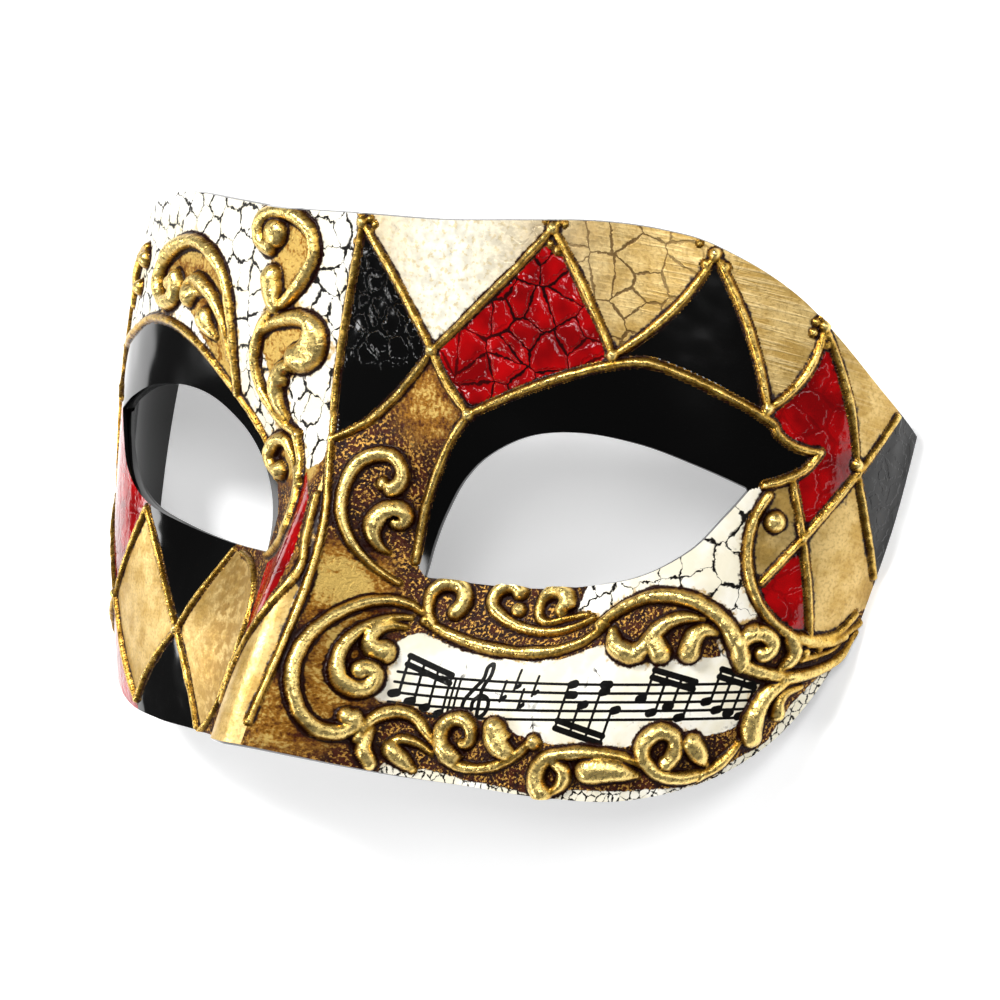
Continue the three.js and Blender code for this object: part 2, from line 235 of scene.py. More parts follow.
# The piped relief. The real one is gesso pressed from a cone on the dry paper, in thin
# cords that make a harlequin lattice and in thick scrolls with a drop in each curl.
# It is laid here as a rise of the grid: each bead has a round section and soft ends.
JOINTS = {
    "crown_middle": (1, 43.6), "hub": (17.3, 23.2), "valley": (-0.8, 5.5),
    "crown_second": (38.3, 46.2), "brow_inner": (25, 13.6), "brow_middle": (50.3, 27),
    "crown_third": (65.3, 46.8), "brow_outer": (76.5, 23.5), "crown_fourth": (83.6, 39.6),
    "temple": (93.5, 18.5), "corner": (99.7, 28.7), "heel": (104.8, 1.5),
    "leaf_tip": (82.9, 12.9), "leaf_foot": (94.7, -11.8), "fork": (82.2, -4.9),
    "leaf_cross": (87, 4.3), "leaf_start": (79.5, 9.5), "brow_tip": (86.5, 18.3),
    "cheek_top": (-60.1, -9.5), "cheek_middle": (-44.4, -31.6), "cheek_foot": (-63.5, -45.5),
    "cheek_side": (-75.5, -26), "cheek_inner": (-32.6, -15), "chin": (-36.5, -48.5),
    "side_top": (-90, -6), "side_foot": (-92, -33), "side_rear": (-104.8, 6),
    "forehead_outer": (-80, 22.5), "forehead_top": (-83.6, 39.6), "band_tip": (-84, 18),
}
STRAIGHT_STEP = 0.6
ARC_STEP = 0.5


def between(start, end, sag=0):
    """A path from joint to joint, straight or bowed by sag millimetres to its left."""
    start, end = np.array(JOINTS[start], float), np.array(JOINTS[end], float)
    length = np.hypot(*(end - start))
    across = np.array([start[1] - end[1], end[0] - start[0]]) / length
    t = np.linspace(0, 1, int(length / STRAIGHT_STEP) + 2)[:, None]
    return start + (end - start) * t + across * 4 * sag * t * (1 - t)


def draw_arcs(start, heading, *arcs):
    """A path drawn with compasses: (radius, sweep) arcs one after another, from a
    start and a heading in degrees. A positive sweep turns left."""
    path = [np.array(start, float)]
    direction = math.radians(heading)
    for radius, sweep in arcs:
        steps = math.ceil(max(radius * math.radians(abs(sweep)) / ARC_STEP, 3))
        turn = math.radians(sweep) / steps
        chord = 2 * radius * math.sin(abs(turn) / 2)
        for _ in range(steps):
            middle = direction + turn / 2
            path.append(path[-1] + chord * np.array([math.cos(middle), math.sin(middle)]))
            direction += turn
    return np.array(path)


cords = {
    "centre_upper": curve_through([(1, 43.6), (-1.5, 26.6), (-2.3, 12), (-0.8, 5.5)]),
    "centre_lower": curve_through([(-0.8, 5.5), (2.9, -7.4), (4.4, -20), (4.6, -34), (4, -46.5)]),
    "crown_hub": between("crown_middle", "hub", 0.4),
    "valley_hub": between("valley", "hub", -1.6),
    "hub_second": between("hub", "crown_second", -0.5),
    "second_brow": between("crown_second", "brow_middle", 0.3),
    "hub_brow": between("hub", "brow_inner", -0.6),
    "brow_third": between("brow_middle", "crown_third", -1.6),
    "third_brow": between("crown_third", "brow_outer", 1),
    "brow_fourth": between("brow_outer", "crown_fourth", -1.8),
    "fourth_temple": between("crown_fourth", "temple", 0.8),
    "corner_fork": between("corner", "fork", 0.4),
    "leaf_side": between("leaf_tip", "leaf_foot"),
    "temple_heel": between("temple", "heel", -0.8),
    "leaf_heel": curve_through([(94.7, -11.8), (100, -9.9), (103.6, -5.5)]),
    "left_brow": curve_through([(25, 13.6), (34.3, 18.4), (44.8, 23.3), (55, 26.7), (63.5, 25.7),
                                (76.5, 22), (79, 19.9), (81.2, 18.8), (83.8, 18.4), (86.5, 18.7)]),
    "left_band": curve_through([(86.5, 18.7), (84.6, 15.2), (81.8, 12.8), (78.6, 11)]),
    "left_inner": curve_through([(25, 13.6), (21, 7.7), (17.6, -1), (16.8, -7.5), (16.9, -12.5)]),
    "right_brow": curve_through([(-18, -1.5), (-22.2, 6.4), (-33.8, 16.4), (-46, 23.4),
                                 (-58.3, 25.9), (-70, 24.2), (-80, 22.5)]),
    "right_band": curve_through([(-80, 22.5), (-84, 18), (-79.5, 12)]),
    "cheek_outer": between("cheek_top", "cheek_side", 1),
    "cheek_fall": between("cheek_top", "cheek_middle", -0.8),
    "cheek_cross": between("cheek_middle", "cheek_foot", -0.5),
    "cheek_back": between("cheek_side", "cheek_foot", -1),
    "cheek_rise": between("cheek_middle", "cheek_inner"),
    "cheek_chin": between("cheek_middle", "chin", 0.8),
    "side_up": between("cheek_side", "side_top"),
    "side_down": between("cheek_side", "side_foot"),
    "side_back": between("side_top", "side_rear"),
    "band_side": between("band_tip", "side_top"),
    "forehead_side": between("forehead_outer", "forehead_top"),
    "nose_side": draw_arcs((-29, -15.5), -10, (11.5, -95), (31, -48)),
    "nose_ridge": curve_through([(0.5, -5), (1.5, -12.5), (2.6, -19), (-0.5, -27), (-4, -35),
                                 (-6.5, -44)]),
}

# Each scroll is its path and its half width at the start, the middle and the end.
leaf = draw_arcs((79.5, 9.5), -115, (15.5, 150))
crown_curl = draw_arcs((-10.5, 6), 160, (24, -30), (9.5, -100), (22, 30), (5, 75), (10.5, 60),
                       (3, 160))
brow_loop = draw_arcs((-22, 23), 40, (14, -55), (3.5, -200))
brow_hook = draw_arcs((-28.4, 12.5), 95, (100, 9), (15.3, 111), (4.5, 172), (2.4, 100))
nose_ring = curve_through([(-6.9, -3.2), (-11, 1.6), (-13.5, 4.5), (-16.3, 5), (-18.5, 3.6),
                           (-19, 1.8), (-17.6, 0.2), (-15.8, -0.4)])
scrolls = [
    # The rinceau between the left eye and the stave.
    (draw_arcs((21.5, -22.5), -20, (42.5, 35), (16.5, 40)), 0.85, 1.1, 0.8),
    (draw_arcs((23, -22.5), 140, (5.5, -55), (3, -215)), 0.9, 1.5, 1.6),
    (draw_arcs((53, -16.5), -140, (17.5, -70), (2.5, -195)), 0.55, 1.0, 1.6),
    (draw_arcs((51.6, -16.1), -166, (32.9, 12), (2.9, -280)), 0.5, 1.0, 2.0),
    (draw_arcs((55, -17.5), 55, (17, -110)), 1.1, 1.35, 1.8),
    (draw_arcs((65, -20), 80, (8.5, -75)), 1.5, 1.3, 0.9),
    (curve_through([(58.2, -18.2), (60, -20.6), (63.1, -21.1), (65, -19.9)]), 1.0, 2.1, 1.7),
    (curve_through([(68.2, -20), (66.3, -17.5), (67.5, -15.2), (70.8, -13.5), (74.2, -13)]),
     2.1, 1.35, 0.7),
    (curve_through([(73.6, -18.9), (73.5, -16.5), (74.8, -14.8), (77.1, -14.7)]), 2.0, 1.6, 0.8),
    # The leaf round the temple, and the curls below it.
    (leaf, 0.85, 1.0, 0.95),
    (draw_arcs((86.5, -16.5), 15, (1.5, 120), (3, 215), (22, 50), (8.5, 45)), 1.7, 1.4, 0.7),
    (draw_arcs((92.6, -12.2), 3, (21.5, 39)), 1.0, 0.75, 0.6),
    (curve_through([(90.4, -12.8), (92.3, -14.5), (92.1, -16.5), (90.9, -18.2)]), 1.2, 1.5, 0.8),
    (curve_through([(94.4, -15.6), (100.5, -12.7), (103.1, -9.3)]), 0.8, 0.6, 0.5),
    (draw_arcs((95.5, -18.5), -165, (8, 105)), 1.0, 1.7, 2.0),
    (curve_through([(96.8, -20), (94.2, -21.4), (93.2, -23.4), (94, -25.4)]), 0.6, 1.1, 1.5),
    # Along the lower edge.
    (draw_arcs((76.6, -38), 47, (3.1, 283), (11, 105)), 1.6, 1.5, 0.7),
    (curve_through([(80, -33.7), (81.9, -35.1), (84.1, -36.5)]), 2.0, 1.8, 0.9),
    (draw_arcs((54.4, -47.3), 151, (3.6, -130), (33, -30)), 2.1, 1.3, 0.9),
    (curve_through([(55.6, -41.8), (57.8, -43), (58.1, -45.1), (56.4, -47)]), 1.2, 1.3, 0.8),
    (curve_through([(62.7, -42.2), (65, -41.5), (68.1, -41), (71.9, -41)]), 2.6, 2.4, 0.7),
    (draw_arcs((32.5, -45), -20, (14.5, 80)), 1.2, 0.95, 0.8),
    (draw_arcs((35.7, -42.1), -2, (1.5, 110), (3.2, 249)), 0.9, 1.5, 1.9),
    (curve_through([(41.7, -38.6), (42.5, -40.1), (44.5, -41.5), (47.1, -41.7)]), 2.4, 2.4, 0.7),
    (draw_arcs((17.5, -45), 95, (5.5, -135), (26, 15)), 1.3, 1.3, 0.9),
    (curve_through([(20.2, -48.7), (18.7, -46.4), (18.8, -43)]), 1.5, 1.7, 1.1),
    (curve_through([(22.7, -45.8), (24.9, -47), (26.9, -48)]), 1.8, 1.7, 0.9),
    (curve_through([(21.7, -45.1), (23.9, -43.5), (26.8, -43.6), (29.9, -44.7)]), 0.7, 0.9, 0.6),
    # The nested scrolls beside the nose.
    (draw_arcs((22.5, -22.5), 135, (8, 95), (16.5, 70), (9, 25), (3, 130)), 0.7, 1.4, 1.7),
    (draw_arcs((19.2, -22.5), -171, (9.1, 107), (2.3, 165), (1.1, 140)), 0.6, 1.6, 2.1),
    (curve_through([(17, -29.4), (15.3, -29.2), (14.4, -27.6), (15, -25.7), (16.7, -24.5),
                    (18.9, -24.3)]), 2.3, 1.6, 0.6),
    (draw_arcs((15.5, -17), 165, (15, -85), (5.5, -80), (3, -155)), 0.6, 1.2, 1.5),
    (draw_arcs((12.8, -12.1), 169, (3.9, -155), (1.2, -215)), 0.4, 1.9, 1.0),
    # The two flourishes on the forehead, over the wearer's right eye.
    (crown_curl, 1.0, 1.4, 1.8),
    (curve_through([(-19.7, 32.8), (-19.3, 31), (-18.3, 28.8), (-16.8, 26.2)]), 2.8, 2.3, 0.8),
    (brow_loop, 1.0, 1.7, 2.3),
    (curve_through([(-8.6, 23.8), (-9, 21.6), (-11, 19.5), (-13, 18.6)]), 2.3, 2.7, 1.2),
    (curve_through([(-12.2, 17.4), (-14.2, 17.9), (-16.2, 16.4), (-16.6, 13.8), (-15.6, 11),
                    (-13.6, 8.4)]), 1.0, 2.0, 0.7),
    (brow_hook, 0.8, 1.5, 2.0),
    (draw_arcs((-30, 18.5), 100, (18.5, 55), (3.5, 80)), 1.0, 1.4, 1.5),
    (curve_through([(-43.9, 29.4), (-41.6, 30.4), (-39.3, 30)]), 2.5, 1.7, 0.8),
    (curve_through([(-38, 25.2), (-36.4, 23.6), (-34.7, 22)]), 2.4, 1.8, 0.7),
    (draw_arcs((-66.7, 40), 177, (6.6, 81), (300, -1)), 1.1, 1.2, 0.8),
    (nose_ring, 1.0, 1.5, 1.8),
    (draw_arcs((-10.7, 5.6), -63, (39, -21), (3, -57), (23, -31)), 1.0, 1.1, 0.6),
]

knobs = ["crown_middle", "crown_second", "crown_third", "crown_fourth", "hub", "brow_inner",
         "brow_middle", "brow_outer", "temple", "cheek_middle", "cheek_side"]

# The round drops inside the curls, as (girth, height, radius).
drops = [
    (37.2, -17.5, 1.5), (46, -16, 1.6), (94.7, -14.3, 1.1), (97.4, -13, 0.9),
    (50.1, -39.3, 1.4), (15.2, -42, 1.8), (9.9, -0.5, 1.3), (81.7, 5.5, 1.9),
    (-19.4, 40.9, 3.0), (-15.8, 15.4, 1.9), (-51, 32, 2.0), (-66.2, 37.6, 1.9),
    (-68.8, 32.5, 1.7), (-15.8, -0.2, 2.0),
]

# A bead's half width swells and trembles with the hand, as a share of it over that many
# millimetres. Across, its height falls off as (1 - share**a)**b, and where beads meet
# they melt into one another: their heights add up as fourth powers.
CORD_WIDTHS = (0.68, 0.76, 0.68)
CORD_RISE = 1.15
SCROLL_RISE = 1.2
HIGHEST_RISE = 2.3
KNOB = {"half_width": 1.2, "rise": 1.35}
DROP_RISE = 1.05
FOOT = 0.3
SWELL = {"share": 0.13, "wavelength": 4}
TREMBLE = {"share": 0.05, "wavelength": 1.6}
WIDEST = 1.2
MARGIN = 1.5
BEAD_SECTION = (2.2, 0.7)
DROP_SECTION = (2, 0.6)
MELT = 4
FAR = 9.0
WAVE_CELLS = 96
WAVE_START = 300
SCROLL_SEED = 100
GRID_START = np.array([-REAR_GIRTH, GRID_BOTTOM])

grid_shape = face["places"].shape[:2]
piled = np.zeros(grid_shape)
off_cords = np.full(grid_shape, FAR)
off_scrolls = np.full(grid_shape, FAR)


def waves(places, wavelength, seed):
    """Smooth random waves over the shell, from -1 to 1, that long in millimetres."""
    lattice = np.random.default_rng(seed).uniform(-1, 1, (WAVE_CELLS + 1, WAVE_CELLS + 1))
    where = (places + WAVE_START) / wavelength
    cell = np.floor(where).astype(int)
    share = where - cell
    share = share * share * (3 - 2 * share)
    i, j = cell[..., 0] % WAVE_CELLS, cell[..., 1] % WAVE_CELLS
    low = lattice[i, j] + (lattice[i + 1, j] - lattice[i, j]) * share[..., 0]
    high = lattice[i, j + 1] + (lattice[i + 1, j + 1] - lattice[i, j + 1]) * share[..., 0]
    return low + (high - low) * share[..., 1]


def window_round(path, reach):
    """The part of the grid within reach of a path or a place."""
    path = np.atleast_2d(path)
    first = ((path.min(0) - reach - GRID_START) / face["spacing"]).astype(int).clip(0)
    last = ((path.max(0) + reach - GRID_START) / face["spacing"]).astype(int) + 2
    return np.s_[first[1]:last[1], first[0]:last[0]]


def nearest_on(path, window, reach):
    """How far each place in the window is from a path, and its share of the way along."""
    places = shell_places[window]
    away = np.full(places.shape[:2], FAR)
    along = np.zeros(places.shape[:2])
    corner = np.array([window[1].start, window[0].start])
    knots = surface_point(path[:, 0], path[:, 1])
    lengths = np.linalg.norm(np.diff(knots, axis=0), axis=1)
    so_far = np.concatenate([[0], np.cumsum(lengths)])
    for i, length in enumerate(lengths):
        if length > 0:
            part = window_round(path[i:i + 2], reach)
            part = tuple(slice(max(side.start - start, 0), side.stop - start)
                         for side, start in zip(part, corner[::-1]))
            offset = places[part] - knots[i]
            step = knots[i + 1] - knots[i]
            share = np.clip(offset @ step / length**2, 0, 1)
            distance = np.linalg.norm(offset - share[..., None] * step, axis=-1)
            nearer = distance < away[part]
            away[part] = np.where(nearer, distance, away[part])
            along[part] = np.where(nearer, so_far[i] + share * length, along[part])
    return away, along / so_far[-1]


def pile(window, away, half_width, crest, section):
    """Adds a bead or a drop to what is piled up in the window."""
    fall, power = section
    piled[window] += (crest * np.clip(1 - (away / half_width) ** fall, 0, 1) ** power) ** MELT


def lay_bead(path, widths, rise_share, off, seed):
    """Lays one bead of gesso along a path. Its half width runs over three values from
    start to end, and wobbles a little as a hand does."""
    reach = max(widths) * WIDEST + MARGIN
    window = window_round(path, reach)
    away, along = nearest_on(path, window, reach)
    here = face["places"][window]
    start, middle, end = widths
    full = (start * (1 - along) * (1 - 2 * along) + 4 * middle * along * (1 - along)
            + end * along * (2 * along - 1))
    full = full * (1 + SWELL["share"] * waves(here, SWELL["wavelength"], seed)
                   + TREMBLE["share"] * waves(here, TREMBLE["wavelength"], seed))
    crest = np.minimum(rise_share * full, HIGHEST_RISE)
    pile(window, away, full, crest, BEAD_SECTION)
    off[window] = np.minimum(off[window], away - full)


def lay_drop(place, radius, rise, off):
    """Lays one round drop of gesso."""
    window = window_round(place, radius + MARGIN)
    away = np.linalg.norm(shell_places[window] - surface_point(*place), axis=-1)
    pile(window, away, radius, rise, DROP_SECTION)
    off[window] = np.minimum(off[window], away - radius)


for number, path in enumerate(cords.values()):
    lay_bead(path, CORD_WIDTHS, CORD_RISE, off_cords, number)
for number, (path, *widths) in enumerate(scrolls):
    lay_bead(path, widths, SCROLL_RISE, off_scrolls, SCROLL_SEED + number)
for name in knobs:
    lay_drop(JOINTS[name], KNOB["half_width"], KNOB["rise"], off_cords)
for girth, height, radius in drops:
    lay_drop((girth, height), radius, min(DROP_RISE * radius, HIGHEST_RISE), off_scrolls)
# The cone was set down again and again where cords start at the crown, and left crumbs,
# most of them a little below the joint.
CRUMBS = {"seed": 5, "count": 6, "spread": 2.6, "below": 1, "smallest": 0.5, "largest": 0.9}
crumbs = np.random.default_rng(CRUMBS["seed"])
for name in ("crown_middle", "crown_second", "crown_third", "crown_fourth"):
    for _ in range(CRUMBS["count"]):
        place = np.array(JOINTS[name]) + crumbs.uniform(-CRUMBS["spread"], CRUMBS["spread"], 2)
        radius = crumbs.uniform(CRUMBS["smallest"], CRUMBS["largest"])
        lay_drop(place - (0, CRUMBS["below"]), radius, radius, off_cords)

rise = piled ** (1 / MELT)


def blur(values, reach):
    """The values of the grid, softened over that many millimetres."""
    cells = reach / face["spacing"]
    taps = np.arange(-round(3 * cells), round(3 * cells) + 1)
    weights = bell(taps, cells * math.sqrt(2))
    weights = weights / weights.sum()
    soft = np.apply_along_axis(np.convolve, 0, values, weights, "same")
    return np.apply_along_axis(np.convolve, 1, soft, weights, "same")


# The paper is wavy from the mould and the gesso from its drying, as (height, length, seed).
PAPER_WAVES = ((0.1, 13, 7), (0.04, 5, 8))
GESSO_WAVES = ((0.07, 1.3, 9),)
GESSO_FULL = 0.6
HOLLOW_REACH = 0.55
HAZE_REACH = 1.3
HAZE_RISE = 0.4


def heave(*heights):
    """Waves of several lengths on top of one another."""
    return sum(height * waves(face["places"], length, seed) for height, length, seed in heights)


lift = rise + heave(*PAPER_WAVES) + heave(*GESSO_WAVES) * np.clip(rise / GESSO_FULL, 0, 1)
# The paint asks later how far a place lies below those round it, and how near a bead is.
hollow = blur(rise, HOLLOW_REACH) - rise
haze = blur((rise > HAZE_RISE).astype(float), HAZE_REACH)
face_places = shell_places + shell_normals * lift[..., None]
across_face = np.gradient(face_places, axis=1)
up_face = np.gradient(face_places, axis=0)
face_normals = np.cross(across_face, up_face)
face_normals /= np.linalg.norm(face_normals, axis=-1, keepdims=True)
# The rear edges lie flat on the table.
face_places[..., 2] = np.maximum(face_places[..., 2], 0)

# The gilded beads. Gold size and leaf over the gesso, rubbed with umber that stays in
# every dip, so the feet go nearly black. Their colour also holds painted light: the crests
# are painted pale as a painted highlight, and the low sides of each bead are painted
# darker brown as painted shade. They give the eye its glitter: the leaf is rough and
# broken by brown specks.
UMBER = "#200500"
# How wide its patterns are, in millimetres. Its specks and pits are finer than this, and
# are drawn as coarse as they need to show.
GILDING_GRAIN = {"blots": 2.4, "painted_highlights": 0.9, "specks": 0.6, "dents": 1.7, "pits": 0.5, "shine": 0.8}
UMBER_GRAIN = {"patches": 3.5, "edges": 0.8}
girths, heights = face["places"][..., 0], face["places"][..., 1]
middles = (face["places"][:-1, :-1] + face["places"][1:, 1:]) / 2
left_side = middles[..., 0] > 0


def at_middles(values):
    """The values of the grid at the middles of its cells."""
    return (values[:-1, :-1] + values[1:, :-1] + values[:-1, 1:] + values[1:, 1:]) / 4


cord_cells = face["kept"] & (at_middles(off_cords) < FOOT)
scroll_cells = face["kept"] & (at_middles(off_scrolls) < FOOT) & ~cord_cells
bare_cells = face["kept"] & ~cord_cells & ~scroll_cells


def paint_skin(name, chosen, finish, more=(), finer=1, drawn=None):
    """One finish of the painted face as a mesh: the chosen cells of the grid, cut finer
    where something is drawn on them, with what the paint needs to know at every point."""
    known = {
        "tape": np.dstack([face["places"], np.zeros(grid_shape)]),
        "hollow": hollow, "haze": haze, "rise": rise, **dict(more),
    }
    points, normals = face_places, face_normals
    if finer > 1:
        chosen = np.repeat(np.repeat(chosen, finer, 0), finer, 1)
        points, normals = refine(points, finer), refine(normals, finer)
        known = {key: refine(values, finer) for key, values in known.items()}
    if drawn:
        known["ink"] = drawn(known["tape"][..., :2])
    used, quads = np.unique(corners_of(chosen), return_inverse=True)
    mesh = make_mesh(name, points.reshape(-1, 3)[used], quads.reshape(-1, 4))
    for key, values in known.items():
        vector = values.ndim == 3
        layer = mesh.attributes.new(key, "FLOAT_VECTOR" if vector else "FLOAT", "POINT")
        flat = values.reshape(-1, 3)[used] if vector else values.reshape(-1)[used]
        layer.data.foreach_set("vector" if vector else "value", flat.astype(np.float32).ravel())
    mesh.normals_split_custom_set_from_vertices(normals.reshape(-1, 3)[used])
    finish_piece(name, mesh, finish)


def refine(values, finer):
    """The same values on a grid that many times as fine."""
    for axis in (0, 1):
        count = values.shape[axis]
        at = np.arange((count - 1) * finer + 1) / finer
        low = np.minimum(at.astype(int), count - 2)
        shape = [1] * values.ndim
        shape[axis] = -1
        share = (at - low).reshape(shape)
        values = np.take(values, low, axis) * (1 - share) + np.take(values, low + 1, axis) * share
    return values


def corners_of(chosen):
    """The corners of the chosen cells of a grid, as numbers of its places."""
    row, column = np.nonzero(chosen)
    width = chosen.shape[1] + 1
    first = row * width + column
    return np.stack([first, first + 1, first + 1 + width, first + width], 1)


def make_mesh(name, points, quads):
    """A smooth mesh of quads, its points given in millimetres."""
    mesh = bpy.data.meshes.new(name)
    mesh.vertices.add(len(points))
    mesh.vertices.foreach_set("co", (points * MM).astype(np.float32).ravel())
    mesh.loops.add(quads.size)
    mesh.loops.foreach_set("vertex_index", quads.astype(np.int32).ravel())
    mesh.polygons.add(len(quads))
    mesh.polygons.foreach_set("loop_start", np.arange(0, quads.size, 4, dtype=np.int32))
    mesh.update(calc_edges=True)
    mesh.shade_smooth()
    return mesh


def finish_piece(name, mesh, finish):
    """The mesh as a piece of the mask, in its finish and riding on its one body."""
    piece = bpy.data.objects.new(name, mesh)
    bpy.context.scene.collection.objects.link(piece)
    mesh.materials.append(finish)
    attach(piece, "root")
    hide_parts("mask")


def linear(colour):
    """An sRGB hex colour as linear red, green, blue and alpha."""
    shares = [int(colour[i:i + 2], 16) / 255 for i in (1, 3, 5)]
    return [s / 12.92 if s <= 0.04045 else ((s + 0.055) / 1.055) ** 2.4 for s in shares] + [1]


# What is the same in nearly every node of a kind: noise is flat, a step is soft, and
# what is mixed is colour. Noise is laid on the tape's millimetres, so its scale is one
# over the size of its blots.
USUAL = {
    "TexNoise": {"noise_dimensions": "2D", "Roughness": 0.6},
    "MapRange": {"interpolation_type": "SMOOTHSTEP"},
    "Mix": {"data_type": "RGBA"},
}


def start_finish(name):
    """A new material, and the function that adds a node to it with its settings and its
    links. It takes the values of the sockets in their order, or by name with a capital
    letter; names in small letters are settings, and a text value is a hex colour."""
    material = bpy.data.materials.new(name)
    material.use_nodes = True
    tree = material.node_tree
    tree.nodes.clear()

    def node(kind, *values, out=None, **named):
        made = tree.nodes.new("ShaderNode" + kind)
        named = {**USUAL.get(kind, {}), **named}
        for key, value in named.items():
            if key.islower():
                setattr(made, key, value)
        given = list(zip([socket for socket in made.inputs if socket.enabled], values))
        for key, value in named.items():
            if not key.islower():
                given.append((made.inputs[key.replace("_", " ")], value))
        for socket, value in given:
            if isinstance(value, bpy.types.NodeSocket):
                tree.links.new(value, socket)
            else:
                socket.default_value = linear(value) if isinstance(value, str) else value
        return made.outputs[out] if out else next((o for o in made.outputs if o.enabled), None)

    return material, node


def mottle(node, tape, size, low, high, detail=3):
    """Soft blots that many millimetres across, 0 where the noise is below low and 1 above
    high."""
    return node("MapRange", node("TexNoise", tape, 1 / size, detail), low, high)


def umber_left(node, tape):
    """Where the umber glaze stayed when it was wiped off: in patches at the foot of the
    beads, and everywhere between two beads that lie close."""
    sunken = node("Attribute", attribute_name="hollow", out="Fac")
    patches = node("TexNoise", tape, 1 / UMBER_GRAIN["patches"])
    patches = node("Math", patches, 0.4, operation="MULTIPLY")
    ragged = node("TexNoise", tape, 1 / UMBER_GRAIN["edges"], 3)
    ragged = node("Math", ragged, 0.3, patches, operation="MULTIPLY_ADD")
    return node("MapRange", node("Math", sunken, ragged, operation="ADD"), 0.45, 0.6)


antiqued_gilding, node = start_finish("antiqued_gilding")
tape = node("Attribute", attribute_name="tape", out="Vector")
risen = node("Attribute", attribute_name="rise", out="Fac")
sunken = node("Attribute", attribute_name="hollow", out="Fac")
risen = node("Math", risen, 0.8, operation="MULTIPLY")
sunken = node("Math", sunken, 2.5, operation="MULTIPLY")
height_for_painted_light = node("Math", risen, sunken, operation="SUBTRACT")
blots = mottle(node, tape, GILDING_GRAIN["blots"], 0.38, 0.62)
leaf_tone = node("Mix", blots, "#9F7829", "#DEB354")
# Painted shade: where a place stands low on the side of a bead, its gold is painted darker brown.
leaf_tone = node("Mix", node("MapRange", height_for_painted_light, 0.3, 1.1, 0.75, 0), leaf_tone, "#5C3A10")
# Painted highlight: where it stands high on the crest, broken a little by noise, the gold is painted
# pale.
crest = node("TexNoise", tape, 1 / GILDING_GRAIN["painted_highlights"])
crest = node("Math", crest, 0.8, height_for_painted_light, operation="MULTIPLY_ADD")
leaf_tone = node("Mix", node("MapRange", crest, 1.4, 2.3), leaf_tone, "#F0D383")
specks = mottle(node, tape, GILDING_GRAIN["specks"], 0.5, 0.72)
specks = node("Math", specks, 0.6, operation="MULTIPLY")
leaf_tone = node("Mix", specks, leaf_tone, "#6A430E")
glaze = umber_left(node, tape)
dents = node("TexNoise", tape, 1 / GILDING_GRAIN["dents"])
pits = node("TexNoise", tape, 1 / GILDING_GRAIN["pits"], 3)
height = node("Math", pits, 0.35, dents, operation="MULTIPLY_ADD")
shine = node("TexNoise", tape, 1 / GILDING_GRAIN["shine"])
node("OutputMaterial", node(
    "BsdfPrincipled",
    Base_Color=node("Mix", glaze, leaf_tone, UMBER),
    Metallic=node("MapRange", glaze, 0, 1, 0.85, 0.1),
    Roughness=node("MapRange", shine, 0.3, 0.7, 0.22, 0.4),
    Specular_IOR_Level=0.15,
    Normal=node("Bump", Height=height, Distance=0.2 * MM),
))

paint_skin("lattice_cords", cord_cells, antiqued_gilding)
paint_skin("scrolls_left", scroll_cells & left_side, antiqued_gilding)
paint_skin("scrolls_right", scroll_cells & ~left_side, antiqued_gilding)

# The gold fields. The painter fills each field of the lattice up to its cords, these with
# gold leaf under a thin varnish. It shines softly: beside the middle it is painted near
# white, a painted reflection of the light, over the brow crazed paint shows through, and
# by the temple the strokes of the brush.


def stretch(name, start, end):
    """The part of a cord, or of the leaf, between two joints."""
    path = leaf if name == "leaf" else cords[name]
    first = np.argmin(np.hypot(*(path - JOINTS[start]).T))
    last = np.argmin(np.hypot(*(path - JOINTS[end]).T))
    return path[first:last + 1] if first <= last else path[last:first + 1][::-1]


def field(*sides):
    """A closed polygon from cords, joints and places, each taken in its turn and turned
    to start where the one before it ends."""
    paths = []
    for side in sides:
        if isinstance(side, str):
            side = cords[side] if side in cords else JOINTS[side]
        paths.append(np.atleast_2d(side).astype(float))

    def gap(a, b):
        return np.hypot(*(a - b))

    first, second = paths[0], paths[1]
    if min(gap(first[0], second[0]), gap(first[0], second[-1])) < min(
            gap(first[-1], second[0]), gap(first[-1], second[-1])):
        paths[0] = first[::-1]
    for i in range(1, len(paths)):
        end = paths[i - 1][-1]
        if gap(paths[i][-1], end) < gap(paths[i][0], end):
            paths[i] = paths[i][::-1]
    return np.vstack(paths)


def inside_any(fields, places=middles):
    """Whether each place is inside one of the fields."""
    chosen = np.zeros(places.shape[:2], bool)
    for outline in fields:
        chosen |= inside_polygon(places, np.array(outline, float))
    return chosen


def fill(fields):
    """The bare cells inside the fields, which are bare no more."""
    chosen = bare_cells & inside_any(fields)
    bare_cells[chosen] = False
    return chosen


def near(girth, reach):
    """1 at that girth, and fading out over that reach to both sides."""
    return bell(girths - girth, reach)


def above(height, fade):
    """0 up to that height, and 1 from fade millimetres over it."""
    return np.clip((heights - height) / fade, 0, 1)


def below(height, fade):
    """0 down to that height, and 1 from fade millimetres under it."""
    return np.clip((height - heights) / fade, 0, 1)


def crackle(node, tape, cell, width, wobble=0.35, thinnest=0.2):
    """The cracks of a crackle varnish: 1 on a crack and 0 on the paint between. Cells and
    cracks are given in millimetres. Two clouds of noise bend the cells' straight edges,
    a wide one and a fine one, and a third lets the cracks thin out and break off."""
    for size, reach in ((cell * 0.8, wobble * cell), (cell * 0.16, 0.55 * wobble * cell)):
        cloud = node("TexNoise", tape, 1 / size, out="Color")
        bend = node("VectorMath", cloud, (0.5, 0.5, 0.5), operation="SUBTRACT")
        tape = node("VectorMath", bend, (reach,) * 3, tape, operation="MULTIPLY_ADD")
    edges = node("TexVoronoi", tape, 1 / cell, feature="DISTANCE_TO_EDGE", voronoi_dimensions="2D")
    half = 0.5 * width / cell
    gape = node("TexNoise", tape, 1 / (cell * 0.7))
    gape = node("MapRange", gape, 0.38, 0.64, thinnest * half, 1.6 * half)
    return node("MapRange", node("Math", edges, gape, operation="DIVIDE"), 0.6, 1.4, 1, 0)


